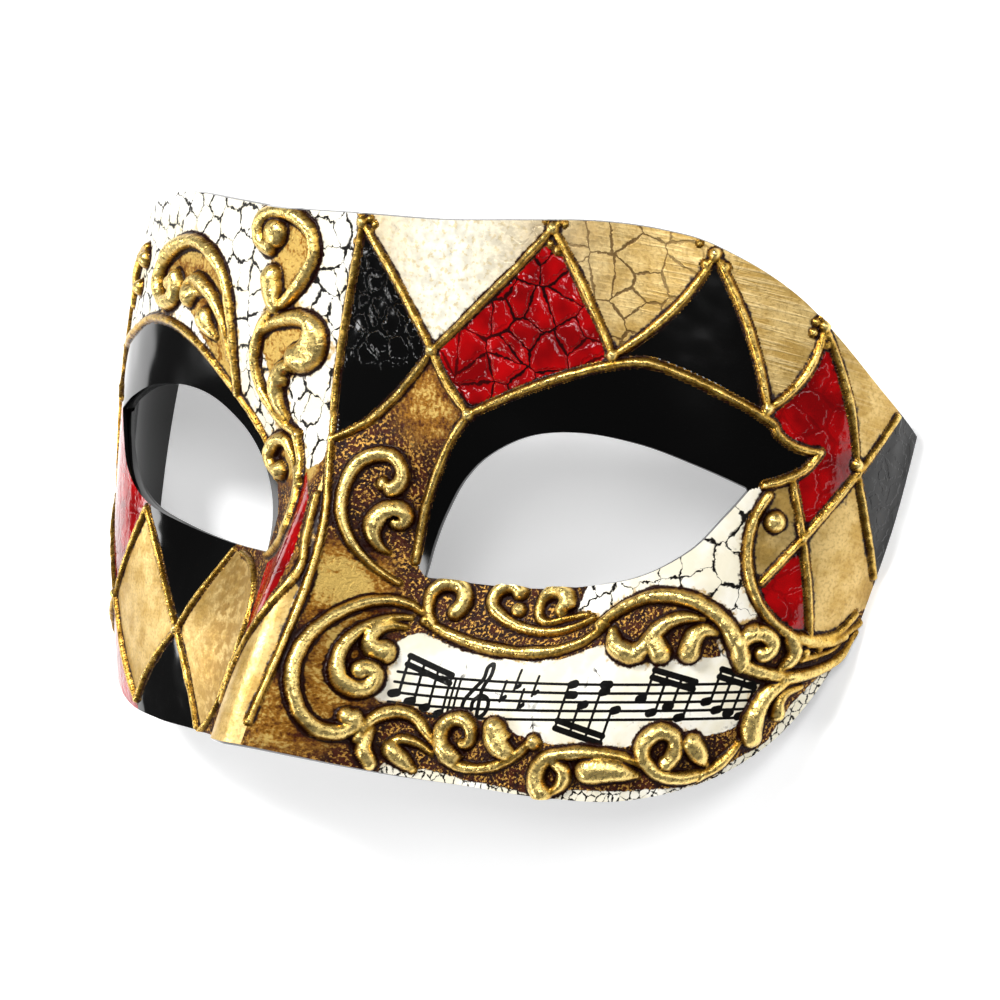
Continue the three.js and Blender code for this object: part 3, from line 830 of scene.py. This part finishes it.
# A field is a closed chain of cords, and runs past the rim where it meets it.
gold_fields = [
    field("crown_hub", "hub_second", (38.3, 60), (1, 60)),
    field("second_brow", "brow_third", (65.3, 60), (38.3, 60)),
    field("third_brow", "brow_fourth", (90, 60), (65.3, 60)),
    field("fourth_temple", stretch("corner_fork", "temple", "corner"), (110, 45), (83.6, 60)),
    field("temple_heel", (108, -3), "leaf_heel", stretch("leaf_side", "leaf_foot", "leaf_cross"),
          stretch("corner_fork", "leaf_cross", "temple")),
    field(stretch("leaf", "leaf_start", "fork"), stretch("corner_fork", "fork", "leaf_cross"),
          stretch("leaf_side", "leaf_cross", "leaf_tip")),
    field("cheek_outer", "cheek_back", "cheek_cross", "cheek_fall"),
    field("cheek_rise", "cheek_chin", (-36.5, -60), (-27, -60), "nose_side"),
    field("nose_ridge", (-6.5, -60), (4, -60), "centre_lower"),
    field("side_up", "side_back", (-110, 6), (-110, -40), "side_foot", "side_down"),
]

# How wide its patterns are, in millimetres. A bristle leaves a finer stroke, and these
# are drawn as coarse as they need to show.
LEAF_GRAIN = {"blots": 6, "stroke": 0.625, "stroke_length": 12.5, "specks": 0.6, "worn": 1.8,
              "flakes": 1.1, "cell": 4.8, "crack": 0.32, "edges": 0.7, "pits": 0.6, "shine": 2}
STROKE_LEAN = 0.9

gold_leaf, node = start_finish("gold_leaf")
tape = node("Attribute", attribute_name="tape", out="Vector")
known = {name: node("Attribute", attribute_name=name, out="Fac")
         for name in ("combed", "worn", "painted_reflection", "crazed", "haze")}
blots = mottle(node, tape, LEAF_GRAIN["blots"], 0.35, 0.65, 4)
leaf_tone = node("Mix", blots, "#BF9B50", "#DDBE7A")
along_strokes = (1 / LEAF_GRAIN["stroke_length"], 1 / LEAF_GRAIN["stroke"], 1)
strokes = node("Mapping", tape, Rotation=(0, 0, STROKE_LEAN), Scale=along_strokes)
brushed = node("Math", mottle(node, strokes, 1, 0.45, 0.7, 2), known["combed"], operation="MULTIPLY")
leaf_tone = node("Mix", node("Math", brushed, 0.5, operation="MULTIPLY"), leaf_tone, "#EBD39A")
specks = mottle(node, tape, LEAF_GRAIN["specks"], 0.45, 0.7)
leaf_tone = node("Mix", node("Math", specks, 0.4, operation="MULTIPLY"), leaf_tone, "#8E6626")
worn = mottle(node, tape, LEAF_GRAIN["worn"], 0.35, 0.6, 4)
worn = node("Math", worn, known["worn"], operation="MULTIPLY")
leaf_tone = node("Mix", worn, leaf_tone, "#A5803C")
# Painted reflection: beside the middle the leaf is painted near white where it mirrors the light.
reflection_share = node("Math", known["painted_reflection"], 0.97, operation="MULTIPLY")
leaf_tone = node("Mix", reflection_share, leaf_tone, "#FFFAE6")
# Specks of gold break up that painted reflection.
flakes = mottle(node, tape, LEAF_GRAIN["flakes"], 0.56, 0.64, 4)
flakes = node("Math", flakes, known["painted_reflection"], operation="MULTIPLY")
leaf_tone = node("Mix", node("Math", flakes, 0.5, operation="MULTIPLY"), leaf_tone, "#D6B45A")
cracks = crackle(node, tape, LEAF_GRAIN["cell"], LEAF_GRAIN["crack"], 0.2, 0.6)
cracks = node("Math", cracks, known["crazed"], operation="MULTIPLY")
leaf_tone = node("Mix", node("Math", cracks, 0.9, operation="MULTIPLY"), leaf_tone, "#56390F")
near_cord = node("Math", known["haze"], known["haze"], operation="MULTIPLY")
ragged = node("TexNoise", tape, 1 / LEAF_GRAIN["edges"], 3)
ragged = node("Math", ragged, 0.9, operation="MULTIPLY")
near_cord = node("Math", near_cord, 1.4, ragged, operation="MULTIPLY_ADD")
leaf_tone = node("Mix", node("MapRange", near_cord, 0.82, 1.04), leaf_tone, "#6B4415")
glaze = umber_left(node, tape)
height = node("Math", brushed, 0.25, operation="MULTIPLY")
pits = node("TexNoise", tape, 1 / LEAF_GRAIN["pits"], 3)
height = node("Math", pits, 0.35, height, operation="MULTIPLY_ADD")
height = node("Math", height, cracks, operation="SUBTRACT")
shine = node("TexNoise", tape, 1 / LEAF_GRAIN["shine"])
node("OutputMaterial", node(
    "BsdfPrincipled",
    Base_Color=node("Mix", glaze, leaf_tone, UMBER),
    Metallic=node("MapRange", glaze, 0, 1, 0.6, 0.1),
    Roughness=node("MapRange", shine, 0.3, 0.7, 0.36, 0.5),
    Normal=node("Bump", Height=height, Distance=0.12 * MM),
))

crown = above(18, 6)
paint_skin("gold_leaf_fields", fill(gold_fields), gold_leaf, {
    # Where the leaf is painted near white as a painted reflection, beside the middle of the crown.
    "painted_reflection": crown * near(19, 17),
    "crazed": crown * near(51, 13),
    "combed": 0.15 + crown * near(74, 20),
    "worn": near(-28, 9) * below(-6, 6),
})

# The red fields. Lacquer, thick and glossy. Over the brow the crackle varnish under it
# draws it into cushions, 4 to 6 mm across, whose shoulders catch small hard lights; on
# the sides of the face it is smoother, with fine lines.
RED_GRAIN = {"clouds": 8, "cell": 4.6, "crack": 0.4, "shoulder": 1.3, "swells": 2.5}
left_eye_middle = [(76.3, 9.8), (60, 3), (40, 0), (25, -6), (19, -15)]
right_eye_middle = [(-g, h) for g, h in left_eye_middle]
red_fields = [
    field("hub_second", "second_brow", stretch("left_brow", "brow_middle", "brow_inner"), "hub_brow"),
    field("brow_fourth", "fourth_temple", stretch("corner_fork", "temple", "leaf_cross"),
          stretch("leaf_side", "leaf_cross", "leaf_tip"), "brow_tip",
          stretch("left_brow", "brow_tip", "brow_outer")),
    field(stretch("leaf", "fork", "leaf_foot"), stretch("leaf_side", "leaf_foot", "leaf_cross"),
          stretch("corner_fork", "leaf_cross", "fork")),
    field([(-6.1, -0.6), (-1.4, -5.4), (-0.2, -11), (0.6, -16.5), (-0.1, -22.4), (-3.9, -31.2),
           (-10, -45), (-14, -47), (-20, -36), (-18, -24), (-17.5, -17), (-11, -15), (-3.6, -11.4),
           (-8, -5)], (-6.1, -0.6)),
    field("cheek_outer", "side_up", "band_side", (-79.5, 12), right_eye_middle[:3]),
    field("cheek_back", "side_down", (-92, -60), (-63.5, -60)),
]

red_lacquer, node = start_finish("red_lacquer")
tape = node("Attribute", attribute_name="tape", out="Vector")
crazed = node("Attribute", attribute_name="crazed", out="Fac")
red = node("Mix", mottle(node, tape, RED_GRAIN["clouds"], 0.3, 0.7, 2), "#780104", "#AE0307")
cracks = crackle(node, tape, RED_GRAIN["cell"], RED_GRAIN["crack"], 0.2, 0.5)
cracks = node("Math", cracks, crazed, operation="MULTIPLY")
red = node("Mix", cracks, red, "#1C0203")
shoulders = crackle(node, tape, RED_GRAIN["cell"], RED_GRAIN["shoulder"], 0.2, 0.5)
shoulders = node("Math", shoulders, crazed, operation="MULTIPLY")
swells = node("TexNoise", tape, 1 / RED_GRAIN["swells"])
height = node("Math", node("Math", swells, 0.4, operation="MULTIPLY"), shoulders, operation="SUBTRACT")
node("OutputMaterial", node(
    "BsdfPrincipled",
    Base_Color=node("Mix", umber_left(node, tape), red, "#160504"),
    Roughness=0.07,
    Specular_IOR_Level=0.45,
    Normal=node("Bump", Height=height, Distance=0.2 * MM),
))

paint_skin("red_lacquer_fields", fill(red_fields), red_lacquer, {
    "crazed": 0.25 + 0.75 * near(36, 24) * above(5, 8),
})

# The black fields. Black lacquer over the same crackle: beside the nose and behind the
# temple it has dried in plates with thin bright wrinkles between, and elsewhere it is
# nearly smooth.
BLACK_GRAIN = {"cell": 3.6, "wrinkle": 1.0, "plates": 3.4}
black_fields = [
    field("centre_upper", "crown_hub", "valley_hub"),
    field("brow_third", "third_brow", stretch("left_brow", "brow_outer", "brow_middle")),
    field(stretch("corner_fork", "temple", "corner"), (102, 40), (110, 40), (110, -2), "heel",
          "temple_heel"),
    field("cheek_fall", "cheek_rise", (-32, -8), (-50, 0)),
    field("cheek_cross", "cheek_chin", (-36.5, -60), (-63.5, -60)),
    field("side_back", "band_side", "forehead_outer", "forehead_side", (-83, 60), (-110, 60),
          (-110, 6)),
]

black_lacquer, node = start_finish("black_lacquer")
tape = node("Attribute", attribute_name="tape", out="Vector")
crazed = node("Attribute", attribute_name="crazed", out="Fac")
wrinkles = crackle(node, tape, BLACK_GRAIN["cell"], BLACK_GRAIN["wrinkle"], 0.25, 0.5)
wrinkles = node("Math", wrinkles, crazed, operation="MULTIPLY")
tilt = node("Math", crazed, 2.6, 0.3, operation="MULTIPLY_ADD")
plates = node("TexNoise", tape, 1 / BLACK_GRAIN["plates"], 0)
plates = node("Math", plates, tilt, operation="MULTIPLY")
height = node("Math", plates, wrinkles, operation="SUBTRACT")
node("OutputMaterial", node(
    "BsdfPrincipled",
    Base_Color=node("Mix", umber_left(node, tape), "#030303", "#160B06"),
    Roughness=0.09,
    Specular_IOR_Level=0.5,
    Normal=node("Bump", Height=height, Distance=0.2 * MM),
))

paint_skin("black_lacquer_fields", fill(black_fields), black_lacquer, {
    "crazed": near(4, 16) * above(18, 10) + 0.5 * near(100, 9),
})

# The bands over the eyes. The same lacquer, brushed on smooth paper and polished like
# glass, with no crackle under it.
band_fields = [
    field("left_brow", "left_band", left_eye_middle, "left_inner"),
    field("right_brow", "right_band", right_eye_middle, (-17, -8)),
]

polished_black, node = start_finish("polished_black")
node("OutputMaterial", node(
    "BsdfPrincipled", Base_Color="#010101", Roughness=0.1, Specular_IOR_Level=0.5))
paint_skin("eye_bands", fill(band_fields), polished_black)

# The ground. Cream paint on a crackle varnish, its cracks rubbed with black, so it is
# chalky and nearly white. Where it isn't left cream it is stippled with antique gold over
# dark red bole, a rusty glitter, and that stain creeps out from under every bead.
FADE = 0.6
LOWER_BAND = {"width": 6.5, "fade": 2}
# The cell and the crack of each crackle, and how wide the other patterns are, in
# millimetres. The finest dots of the stipple are drawn as coarse as they need to show.
CLOSE_CRACKLE = (4.4, 0.42)
OPEN_CRACKLE = (5.6, 0.46)
FINE_CRACKLE = (1.6, 0.24)
GROUND_GRAIN = {"cream": 9, "yellowed": 1.6, "bole": 2.6, "stipple": 0.55, "stipple_clouds": 3.6,
                "rubbed_clouds": 3, "rubbed": 0.6, "stain": 0.9, "ink": 0.5, "grains": 0.6,
                "shine": 1.5}
stave_paper = [(16.8, -38), (17.5, -27), (21.4, -24.2), (31.9, -26), (49.7, -24), (57, -20),
               (65, -20), (76, -19), (84, -18), (90, -20), (89, -29), (79, -34), (70, -37),
               (58, -39.5), (50, -39.5), (38, -38), (29.5, -38), (22, -39.5)]
# The paper that is left cream: round the stave, under the eye, along the lower edge and
# on the forehead. The insides of the curls on the forehead are gilded again.
cream_fields = [
    stave_paper,
    field([(47, -20), (50, -8), (60, -4), (72, 8), (77, 12), (80.5, 9.5)],
          stretch("leaf", "leaf_start", "leaf_foot"), [(90, -14), (86, -16), (80, -19)],
          [(76, -15), (66, -11), (57, -15.5)]),
    [(22, -60), (22, -47.6), (40, -48.1), (53, -48.1), (58, -46.2), (70, -44.5), (81, -41.4),
     (88, -36.2), (95, -30.6), (96, -24), (100, -17), (110, -14), (110, -60)],
    field("centre_upper", [(-0.8, 5.5), (-1, 1), (-6, -0.6), (-12, 1.5), (-18, -1.5)],
          "right_brow", [(-80, 22.5), (-83.6, 39.6), (-84, 60), (1, 60)]),
]
gilded_hollows = [brow_hook, crown_curl[len(crown_curl) // 2:], brow_loop, nose_ring,
                  [(-21.5, 22), (-11.7, 22), (-13, 18), (-15.3, 16.5), (-19.1, 16.8)]]
# Where most gold was rubbed on, as (share, girth, height, reach across, reach up).
RUBBED_SPOTS = [(1, 8, -19, 7, 7), (0.6, 17, 15, 8, 9), (0.8, 13, -32, 6, 8), (0.6, 8, -44, 9, 8)]

cream = inside_any(cream_fields, face["places"]) & ~inside_any(gilded_hollows, face["places"])
low_edge = np.interp(np.abs(girths), half_bottom[:, 0], half_bottom[:, 1])
right_side = np.clip(-girths / 3, 0, 1)
gilt = 0.8 * right_side * above(-5, 5)
for share, girth, height, across, up in RUBBED_SPOTS:
    gilt = gilt + share * near(girth, across) * bell(heights - height, up)
temple_side = np.clip((girths - 44) / 6, 0, 1)
ground = {
    "cream": blur(cream.astype(float), FADE),
    "calm": blur(inside_any([stave_paper], face["places"]).astype(float), FADE),
    "gilt": np.clip(gilt, 0, 1),
    "fine": np.clip((LOWER_BAND["width"] - (heights - low_edge)) / LOWER_BAND["fade"], 0, 1),
    "wide": temple_side * above(-22, 4),
}

crackled_ground, node = start_finish("crackled_ground")
tape = node("Attribute", attribute_name="tape", out="Vector")
known = {name: node("Attribute", attribute_name=name, out="Fac")
         for name in ("cream", "calm", "gilt", "fine", "wide", "haze", "ink")}

# The cracks: wider cells toward the temple, fine ones along the lower edge, and few on
# the paper of the stave.
cracks = crackle(node, tape, *CLOSE_CRACKLE)
cracks = node("Mix", known["wide"], cracks, crackle(node, tape, *OPEN_CRACKLE), data_type="FLOAT")
cracks = node("Mix", known["fine"], cracks, crackle(node, tape, *FINE_CRACKLE), data_type="FLOAT")
calm = mottle(node, tape, GROUND_GRAIN["cream"], 0.74, 0.6)
calm = node("Math", known["calm"], calm, operation="MULTIPLY")
calm = node("Math", 1, calm, operation="SUBTRACT")
cracks = node("Math", cracks, calm, operation="MULTIPLY")

# The cream paint, gone yellow and brown near the beads.
clouds = mottle(node, tape, GROUND_GRAIN["cream"], 0.35, 0.7)
cream_paint = node("Mix", clouds, "#F1EAD2", "#FFFCF2")
yellowed = node("TexNoise", tape, 1 / GROUND_GRAIN["yellowed"], 4)
yellowed = node("Math", yellowed, 0.9, known["haze"], operation="MULTIPLY_ADD")
cream_paint = node("Mix", node("MapRange", yellowed, 0.68, 0.95), cream_paint, "#C9A562")
cream_paint = node("Mix", cracks, cream_paint, "#0C0806")

# The antique gold: specks of it on the bole, and clouds where it was rubbed on.
bole = node("Mix", mottle(node, tape, GROUND_GRAIN["bole"], 0.35, 0.65), "#1E0300", "#441803")
specks = node("TexNoise", tape, 1 / GROUND_GRAIN["stipple"], 6)
clouds = node("TexNoise", tape, 1 / GROUND_GRAIN["stipple_clouds"])
specks = node("Math", clouds, 0.3, specks, operation="MULTIPLY_ADD")
specks = node("MapRange", specks, 0.68, 0.77)
antique = node("Mix", specks, bole, "#CB9A4A")
clouds = node("TexNoise", tape, 1 / GROUND_GRAIN["rubbed_clouds"], 4)
clouds = node("Math", clouds, 0.55, operation="MULTIPLY")
grit = node("TexNoise", tape, 1 / GROUND_GRAIN["rubbed"], 4)
clouds = node("Math", grit, 0.45, clouds, operation="MULTIPLY_ADD")
clouds = node("Math", known["gilt"], 0.36, clouds, operation="MULTIPLY_ADD")
clouds = node("Math", known["haze"], -0.2, clouds, operation="MULTIPLY_ADD")
rubbed = node("Mix", node("MapRange", clouds, 0.5, 0.7), "#451A03", "#99661D")
rubbed = node("Mix", node("MapRange", clouds, 0.66, 0.8), rubbed, "#D2B060")
antique = node("Mix", node("MapRange", known["gilt"], 0.1, 0.5), antique, rubbed)

# Where the cream paint shows, between the stains round the beads, and the ink on it.
near_bead = node("Math", known["haze"], 1.3, operation="MULTIPLY")
stain = node("TexNoise", tape, 1 / GROUND_GRAIN["stain"], 4)
stain = node("Math", stain, 0.9, near_bead, operation="MULTIPLY_ADD")
paper = node("Math", known["cream"], 2, operation="MULTIPLY")
paper = node("Math", paper, stain, operation="SUBTRACT")
paper = node("Math", known["fine"], 0.5, paper, operation="MULTIPLY_ADD")
paper = node("MapRange", paper, 0.7, 0.95)
stippled = node("Math", 1, paper, operation="SUBTRACT")
colour = node("Mix", paper, antique, cream_paint)
ink = node("TexNoise", tape, 1 / GROUND_GRAIN["ink"])
ink = node("Math", ink, -0.06, known["ink"], operation="MULTIPLY_ADD")
colour = node("Mix", node("MapRange", ink, 0.39, 0.47), colour, "#040302")

glaze = umber_left(node, tape)
roughened = node("Math", stippled, 1.3, 0.25, operation="MULTIPLY_ADD")
grains = node("TexNoise", tape, 1 / GROUND_GRAIN["grains"], 3)
height = node("Math", grains, roughened, operation="MULTIPLY")
gaps = node("Math", cracks, paper, operation="MULTIPLY")
height = node("Math", height, gaps, operation="SUBTRACT")
metal = node("Math", specks, known["gilt"], operation="ADD")
metal = node("MapRange", metal, 0.3, 1, 0, 0.75)
shine = node("TexNoise", tape, 1 / GROUND_GRAIN["shine"])
node("OutputMaterial", node(
    "BsdfPrincipled",
    Base_Color=node("Mix", glaze, colour, UMBER),
    Metallic=node("Math", metal, stippled, operation="MULTIPLY"),
    Roughness=node("MapRange", shine, 0.3, 0.7, 0.35, 0.5),
    Specular_IOR_Level=0.15,
    Normal=node("Bump", Height=height, Distance=0.16 * MM),
))

# The panel of the stave is a piece of its own, cut out of the ground. Places on it are
# the girth from its left end and the steps up from its lowest line.
STAVE_START = 20
STAVE_LENGTH = 69.5
TOP_LINE = (-32.2, 0.0675, 0.00137)
LOWEST_LINE = (-39.5, 0.1077, 0.001013)
TOP_STEP = 4
PANEL = {"past_ends": 1.5, "lowest_step": -3.2, "highest_step": 6.2, "samples": 40}


def on_stave(along, step):
    """Places on the shell, from how far along the stave and how many steps up they are."""
    along = np.asarray(along, float)
    top, lowest = (a + b * along + c * along**2 for a, b, c in (TOP_LINE, LOWEST_LINE))
    height = lowest + (top - lowest) * step / TOP_STEP
    return np.stack(np.broadcast_arrays(along + STAVE_START, height), -1)


along = np.linspace(-PANEL["past_ends"], STAVE_LENGTH + PANEL["past_ends"], PANEL["samples"])
panel = np.vstack([on_stave(along, PANEL["lowest_step"]), on_stave(along[::-1], PANEL["highest_step"])])
panel_cells = fill([panel])
paint_skin("ground_left", bare_cells & left_side, crackled_ground, ground)
paint_skin("ground_right", bare_cells & ~left_side, crackled_ground, ground)

# The stave. Under the left eye the cream paper bears five lines and some rows of strokes
# like notes, of no real tune, drawn with a pen in flat black ink. The ink is colour only,
# and the grid is twice as fine there, so that its edges are crisp.
STAVE_FINER = 2
PEN = 0.21
STEM = 0.22
CURL_PEN = 0.36
BEAM = 0.5
BEAM_STEPS = 0.85
HEAD = 0.7
HEAD_LEAN = np.array([0.35, 0.16])
INK_MARGIN = 0.5
LINE_SAMPLES = 60


def note_group(alongs, steps, beams):
    """Notes with a stem each, joined by two beams that run from one step to another."""
    ends = np.interp(alongs, [alongs[0], alongs[-1]], beams)
    up = beams[0] > steps[0]
    inner = -BEAM_STEPS if up else BEAM_STEPS
    strokes = [(on_stave(alongs, ends), BEAM), (on_stave(alongs, ends + inner), BEAM)]
    for along, step, end in zip(alongs, steps, ends):
        middle = on_stave(along + (-HEAD if up else HEAD), step)
        strokes.append((np.array([middle - HEAD_LEAN, middle + HEAD_LEAN]), HEAD))
        strokes.append((on_stave([along, along], np.array([step, end])), STEM))
    return strokes


def stave_strokes():
    """Every stroke of ink, as a path and a half width."""
    whole = np.linspace(0, STAVE_LENGTH, LINE_SAMPLES)
    strokes = [(on_stave(whole, step), PEN) for step in range(TOP_STEP + 1)]
    strokes += note_group([1.2, 4.1, 7, 9.9], [1.9, 1.3, 0.8, 0.3], (5.7, 4.3))
    strokes += note_group([33.4, 36.6, 39.8, 43], [4, 1.7, 3.2, 1.1], (-0.9, -2.7))
    strokes += note_group([48.4, 51.1, 53.8, 56.5], [2.4, 0.8, 1.5, 0.2], (5.7, 4.3))
    strokes += note_group([60.4, 62.8, 65.2, 67.6], [2, 1, 0.6, 0.2], (5.7, 4.3))
    strokes += [(on_stave([33.9, 35], 2.8), HEAD), (on_stave([39.9, 41], 4), HEAD)]
    for bar in (10.9, 11.9, 68.6, 69.4):
        strokes.append((on_stave([bar, bar], np.array([0, TOP_STEP])), PEN))
    curl = curve_through([(16.1, -1.5), (17.1, -1.4), (17.1, 0), (16.7, 3), (17.5, 4.6), (17.2, 5.8),
                          (16.3, 5.4), (16.3, 4.2), (15, 3), (13.7, 1.7), (14.1, 0.4), (16.3, -0.1),
                          (18.5, 0.5), (18.7, 1.8), (17.1, 2.4), (15.6, 1.8), (15.7, 0.9)], 0.3)
    strokes.append((on_stave(curl[:, 0], curl[:, 1]), CURL_PEN))
    for along, step in ((20.9, 1.9), (23, 3.2), (24.9, 1.1), (26.9, 2.6)):
        strokes.append((on_stave([along, along], np.array([step, step + 2.2])), STEM))
        strokes.append((on_stave([along + 0.4, along + 0.8], [step + 0.3, step + 0.5]), CURL_PEN))
    return strokes


def ink_depth(places):
    """How far inside the ink each place is, and half a millimetre more; 0 from half a
    millimetre off the ink on."""
    depth = np.zeros(places.shape[:2])
    first = ((panel.min(0) - GRID_START) / face["spacing"] * STAVE_FINER).astype(int)
    last = ((panel.max(0) - GRID_START) / face["spacing"] * STAVE_FINER).astype(int)
    window = np.s_[first[1]:last[1], first[0]:last[0]]
    here = places[window]
    for path, half_width in stave_strokes():
        for start, end in zip(path[:-1], path[1:]):
            step = end - start
            share = np.clip((here - start) @ step / (step @ step), 0, 1)
            away = np.linalg.norm(here - start - share[..., None] * step, axis=-1)
            depth[window] = np.maximum(depth[window], half_width - away + INK_MARGIN)
    return depth


paint_skin("stave", panel_cells, crackled_ground, ground, STAVE_FINER, ink_depth)

# The rim. The paper is cut clean round the outline and the eyes, its edge is rubbed a
# little round, and it is brushed with the same black lacquer as the bands.
ROUNDING = 0.25
RIM_STEPS = 5


def edge_pairs():
    """Every edge of the trimmed grid that has a cell on one side only, as point pairs."""
    kept = np.pad(face["kept"], 1)
    index = np.arange(grid_shape[0] * grid_shape[1]).reshape(grid_shape)
    inner = kept[1:-1, 1:-1]
    pairs = []
    for beyond, start, end in (
            (kept[:-2, 1:-1], index[:-1, :-1], index[:-1, 1:]),
            (kept[1:-1, 2:], index[:-1, 1:], index[1:, 1:]),
            (kept[2:, 1:-1], index[1:, 1:], index[1:, :-1]),
            (kept[1:-1, :-2], index[1:, :-1], index[:-1, :-1])):
        alone = inner & ~beyond
        pairs.append(np.stack([start[alone], end[alone]], 1))
    return np.vstack(pairs)


used, pairs = np.unique(edge_pairs(), return_inverse=True)
pairs = pairs.reshape(-1, 2)
edge_places = face["places"].reshape(-1, 2)[used]
edge_points = face_places.reshape(-1, 3)[used]
edge_normals = surface_normal(edge_places[:, 0], edge_places[:, 1])
back_points = surface_point(edge_places[:, 0], edge_places[:, 1]) - WALL * edge_normals
outward = np.zeros_like(edge_points)
runs = edge_points[pairs[:, 1]] - edge_points[pairs[:, 0]]
for side in (0, 1):
    np.add.at(outward, pairs[:, side], np.cross(runs, edge_normals[pairs[:, side]]))
outward /= np.linalg.norm(outward, axis=1, keepdims=True)
rings = []
for step in range(RIM_STEPS + 1):
    share = step / RIM_STEPS
    ring = edge_points * (1 - share) + back_points * share
    ring = ring + outward * ROUNDING * math.sin(math.pi * share)
    ring[:, 2] = np.maximum(ring[:, 2], 0)
    rings.append(ring)
strips = []
for step in range(RIM_STEPS):
    front, rear = pairs + step * len(used), pairs + (step + 1) * len(used)
    strips.append(np.stack([front[:, 1], front[:, 0], rear[:, 0], rear[:, 1]], 1))
finish_piece("rim", make_mesh("rim", np.vstack(rings), np.vstack(strips)), polished_black)

# The inside. The last layer of paper is smoothed by hand and brushed with the same black
# lacquer, so what shows of it through the eyes is dark and glossy.
BACK_SPACING = 1.0
back = make_grid(BACK_SPACING)
inner_points = surface_point(back["places"][..., 0], back["places"][..., 1])
inner_normals = surface_normal(back["places"][..., 0], back["places"][..., 1])
inner_points = inner_points - WALL * inner_normals
inner_points[..., 2] = np.maximum(inner_points[..., 2], 0)
facing_inward = [0, 3, 2, 1]
used, quads = np.unique(corners_of(back["kept"])[:, facing_inward], return_inverse=True)
inside = make_mesh("inside", inner_points.reshape(-1, 3)[used], quads.reshape(-1, 4))
finish_piece("inside", inside, polished_black)

# The table and the light. The mask lies on a matt white laminate, which glows a little so
# that it is as white as in a studio's picture, and gives the eye only the soft shadow.
FLOOR_SIZE = 4.0
bpy.ops.mesh.primitive_plane_add(size=FLOOR_SIZE, location=(0, 0, 0))
floor = bpy.context.object
floor.name = "floor"
white_laminate, node = start_finish("white_laminate")
node("OutputMaterial", node(
    "BsdfPrincipled",
    Base_Color="#F4F4F4",
    Roughness=0.6,
    Emission_Color="#FFFFFF",
    Emission_Strength=0.42,
))
floor.data.materials.append(white_laminate)

MASK_MIDDLE = Vector((0, 0, 0.03))
ROOM_GLOW = 0.07


def softbox(name, place, size, power, shine=1.0):
    """A square softbox that faces the mask; shine is how bright its reflections are."""
    light = bpy.data.lights.new(name, "AREA")
    light.shape = "SQUARE"
    light.size = size
    light.energy = power
    light.specular_factor = shine
    holder = bpy.data.objects.new(name, light)
    bpy.context.scene.collection.objects.link(holder)
    holder.location = place
    toward = MASK_MIDDLE - Vector(place)
    holder.rotation_mode = "QUATERNION"
    holder.rotation_quaternion = toward.to_track_quat("-Z", "Y")


softbox("key_light", (-0.2, 0.42, 1.0), 0.28, 10.5)
softbox("front_light", (-0.7, -0.8, 0.85), 0.22, 6)
softbox("fill_light", (0.5, 0.14, 0.9), 0.3, 3, 0.1)
softbox("side_light", (0.9, 0.5, 0.5), 0.5, 2.5)
softbox("cheek_light", (-0.95, -0.15, 0.55), 0.34, 3)

world = bpy.data.worlds.new("studio")
world.use_nodes = True
world.node_tree.nodes["Background"].inputs["Color"].default_value = linear("#FFFFFF")
world.node_tree.nodes["Background"].inputs["Strength"].default_value = ROOM_GLOW
bpy.context.scene.world = world
bpy.context.scene.view_settings.view_transform = "Standard"
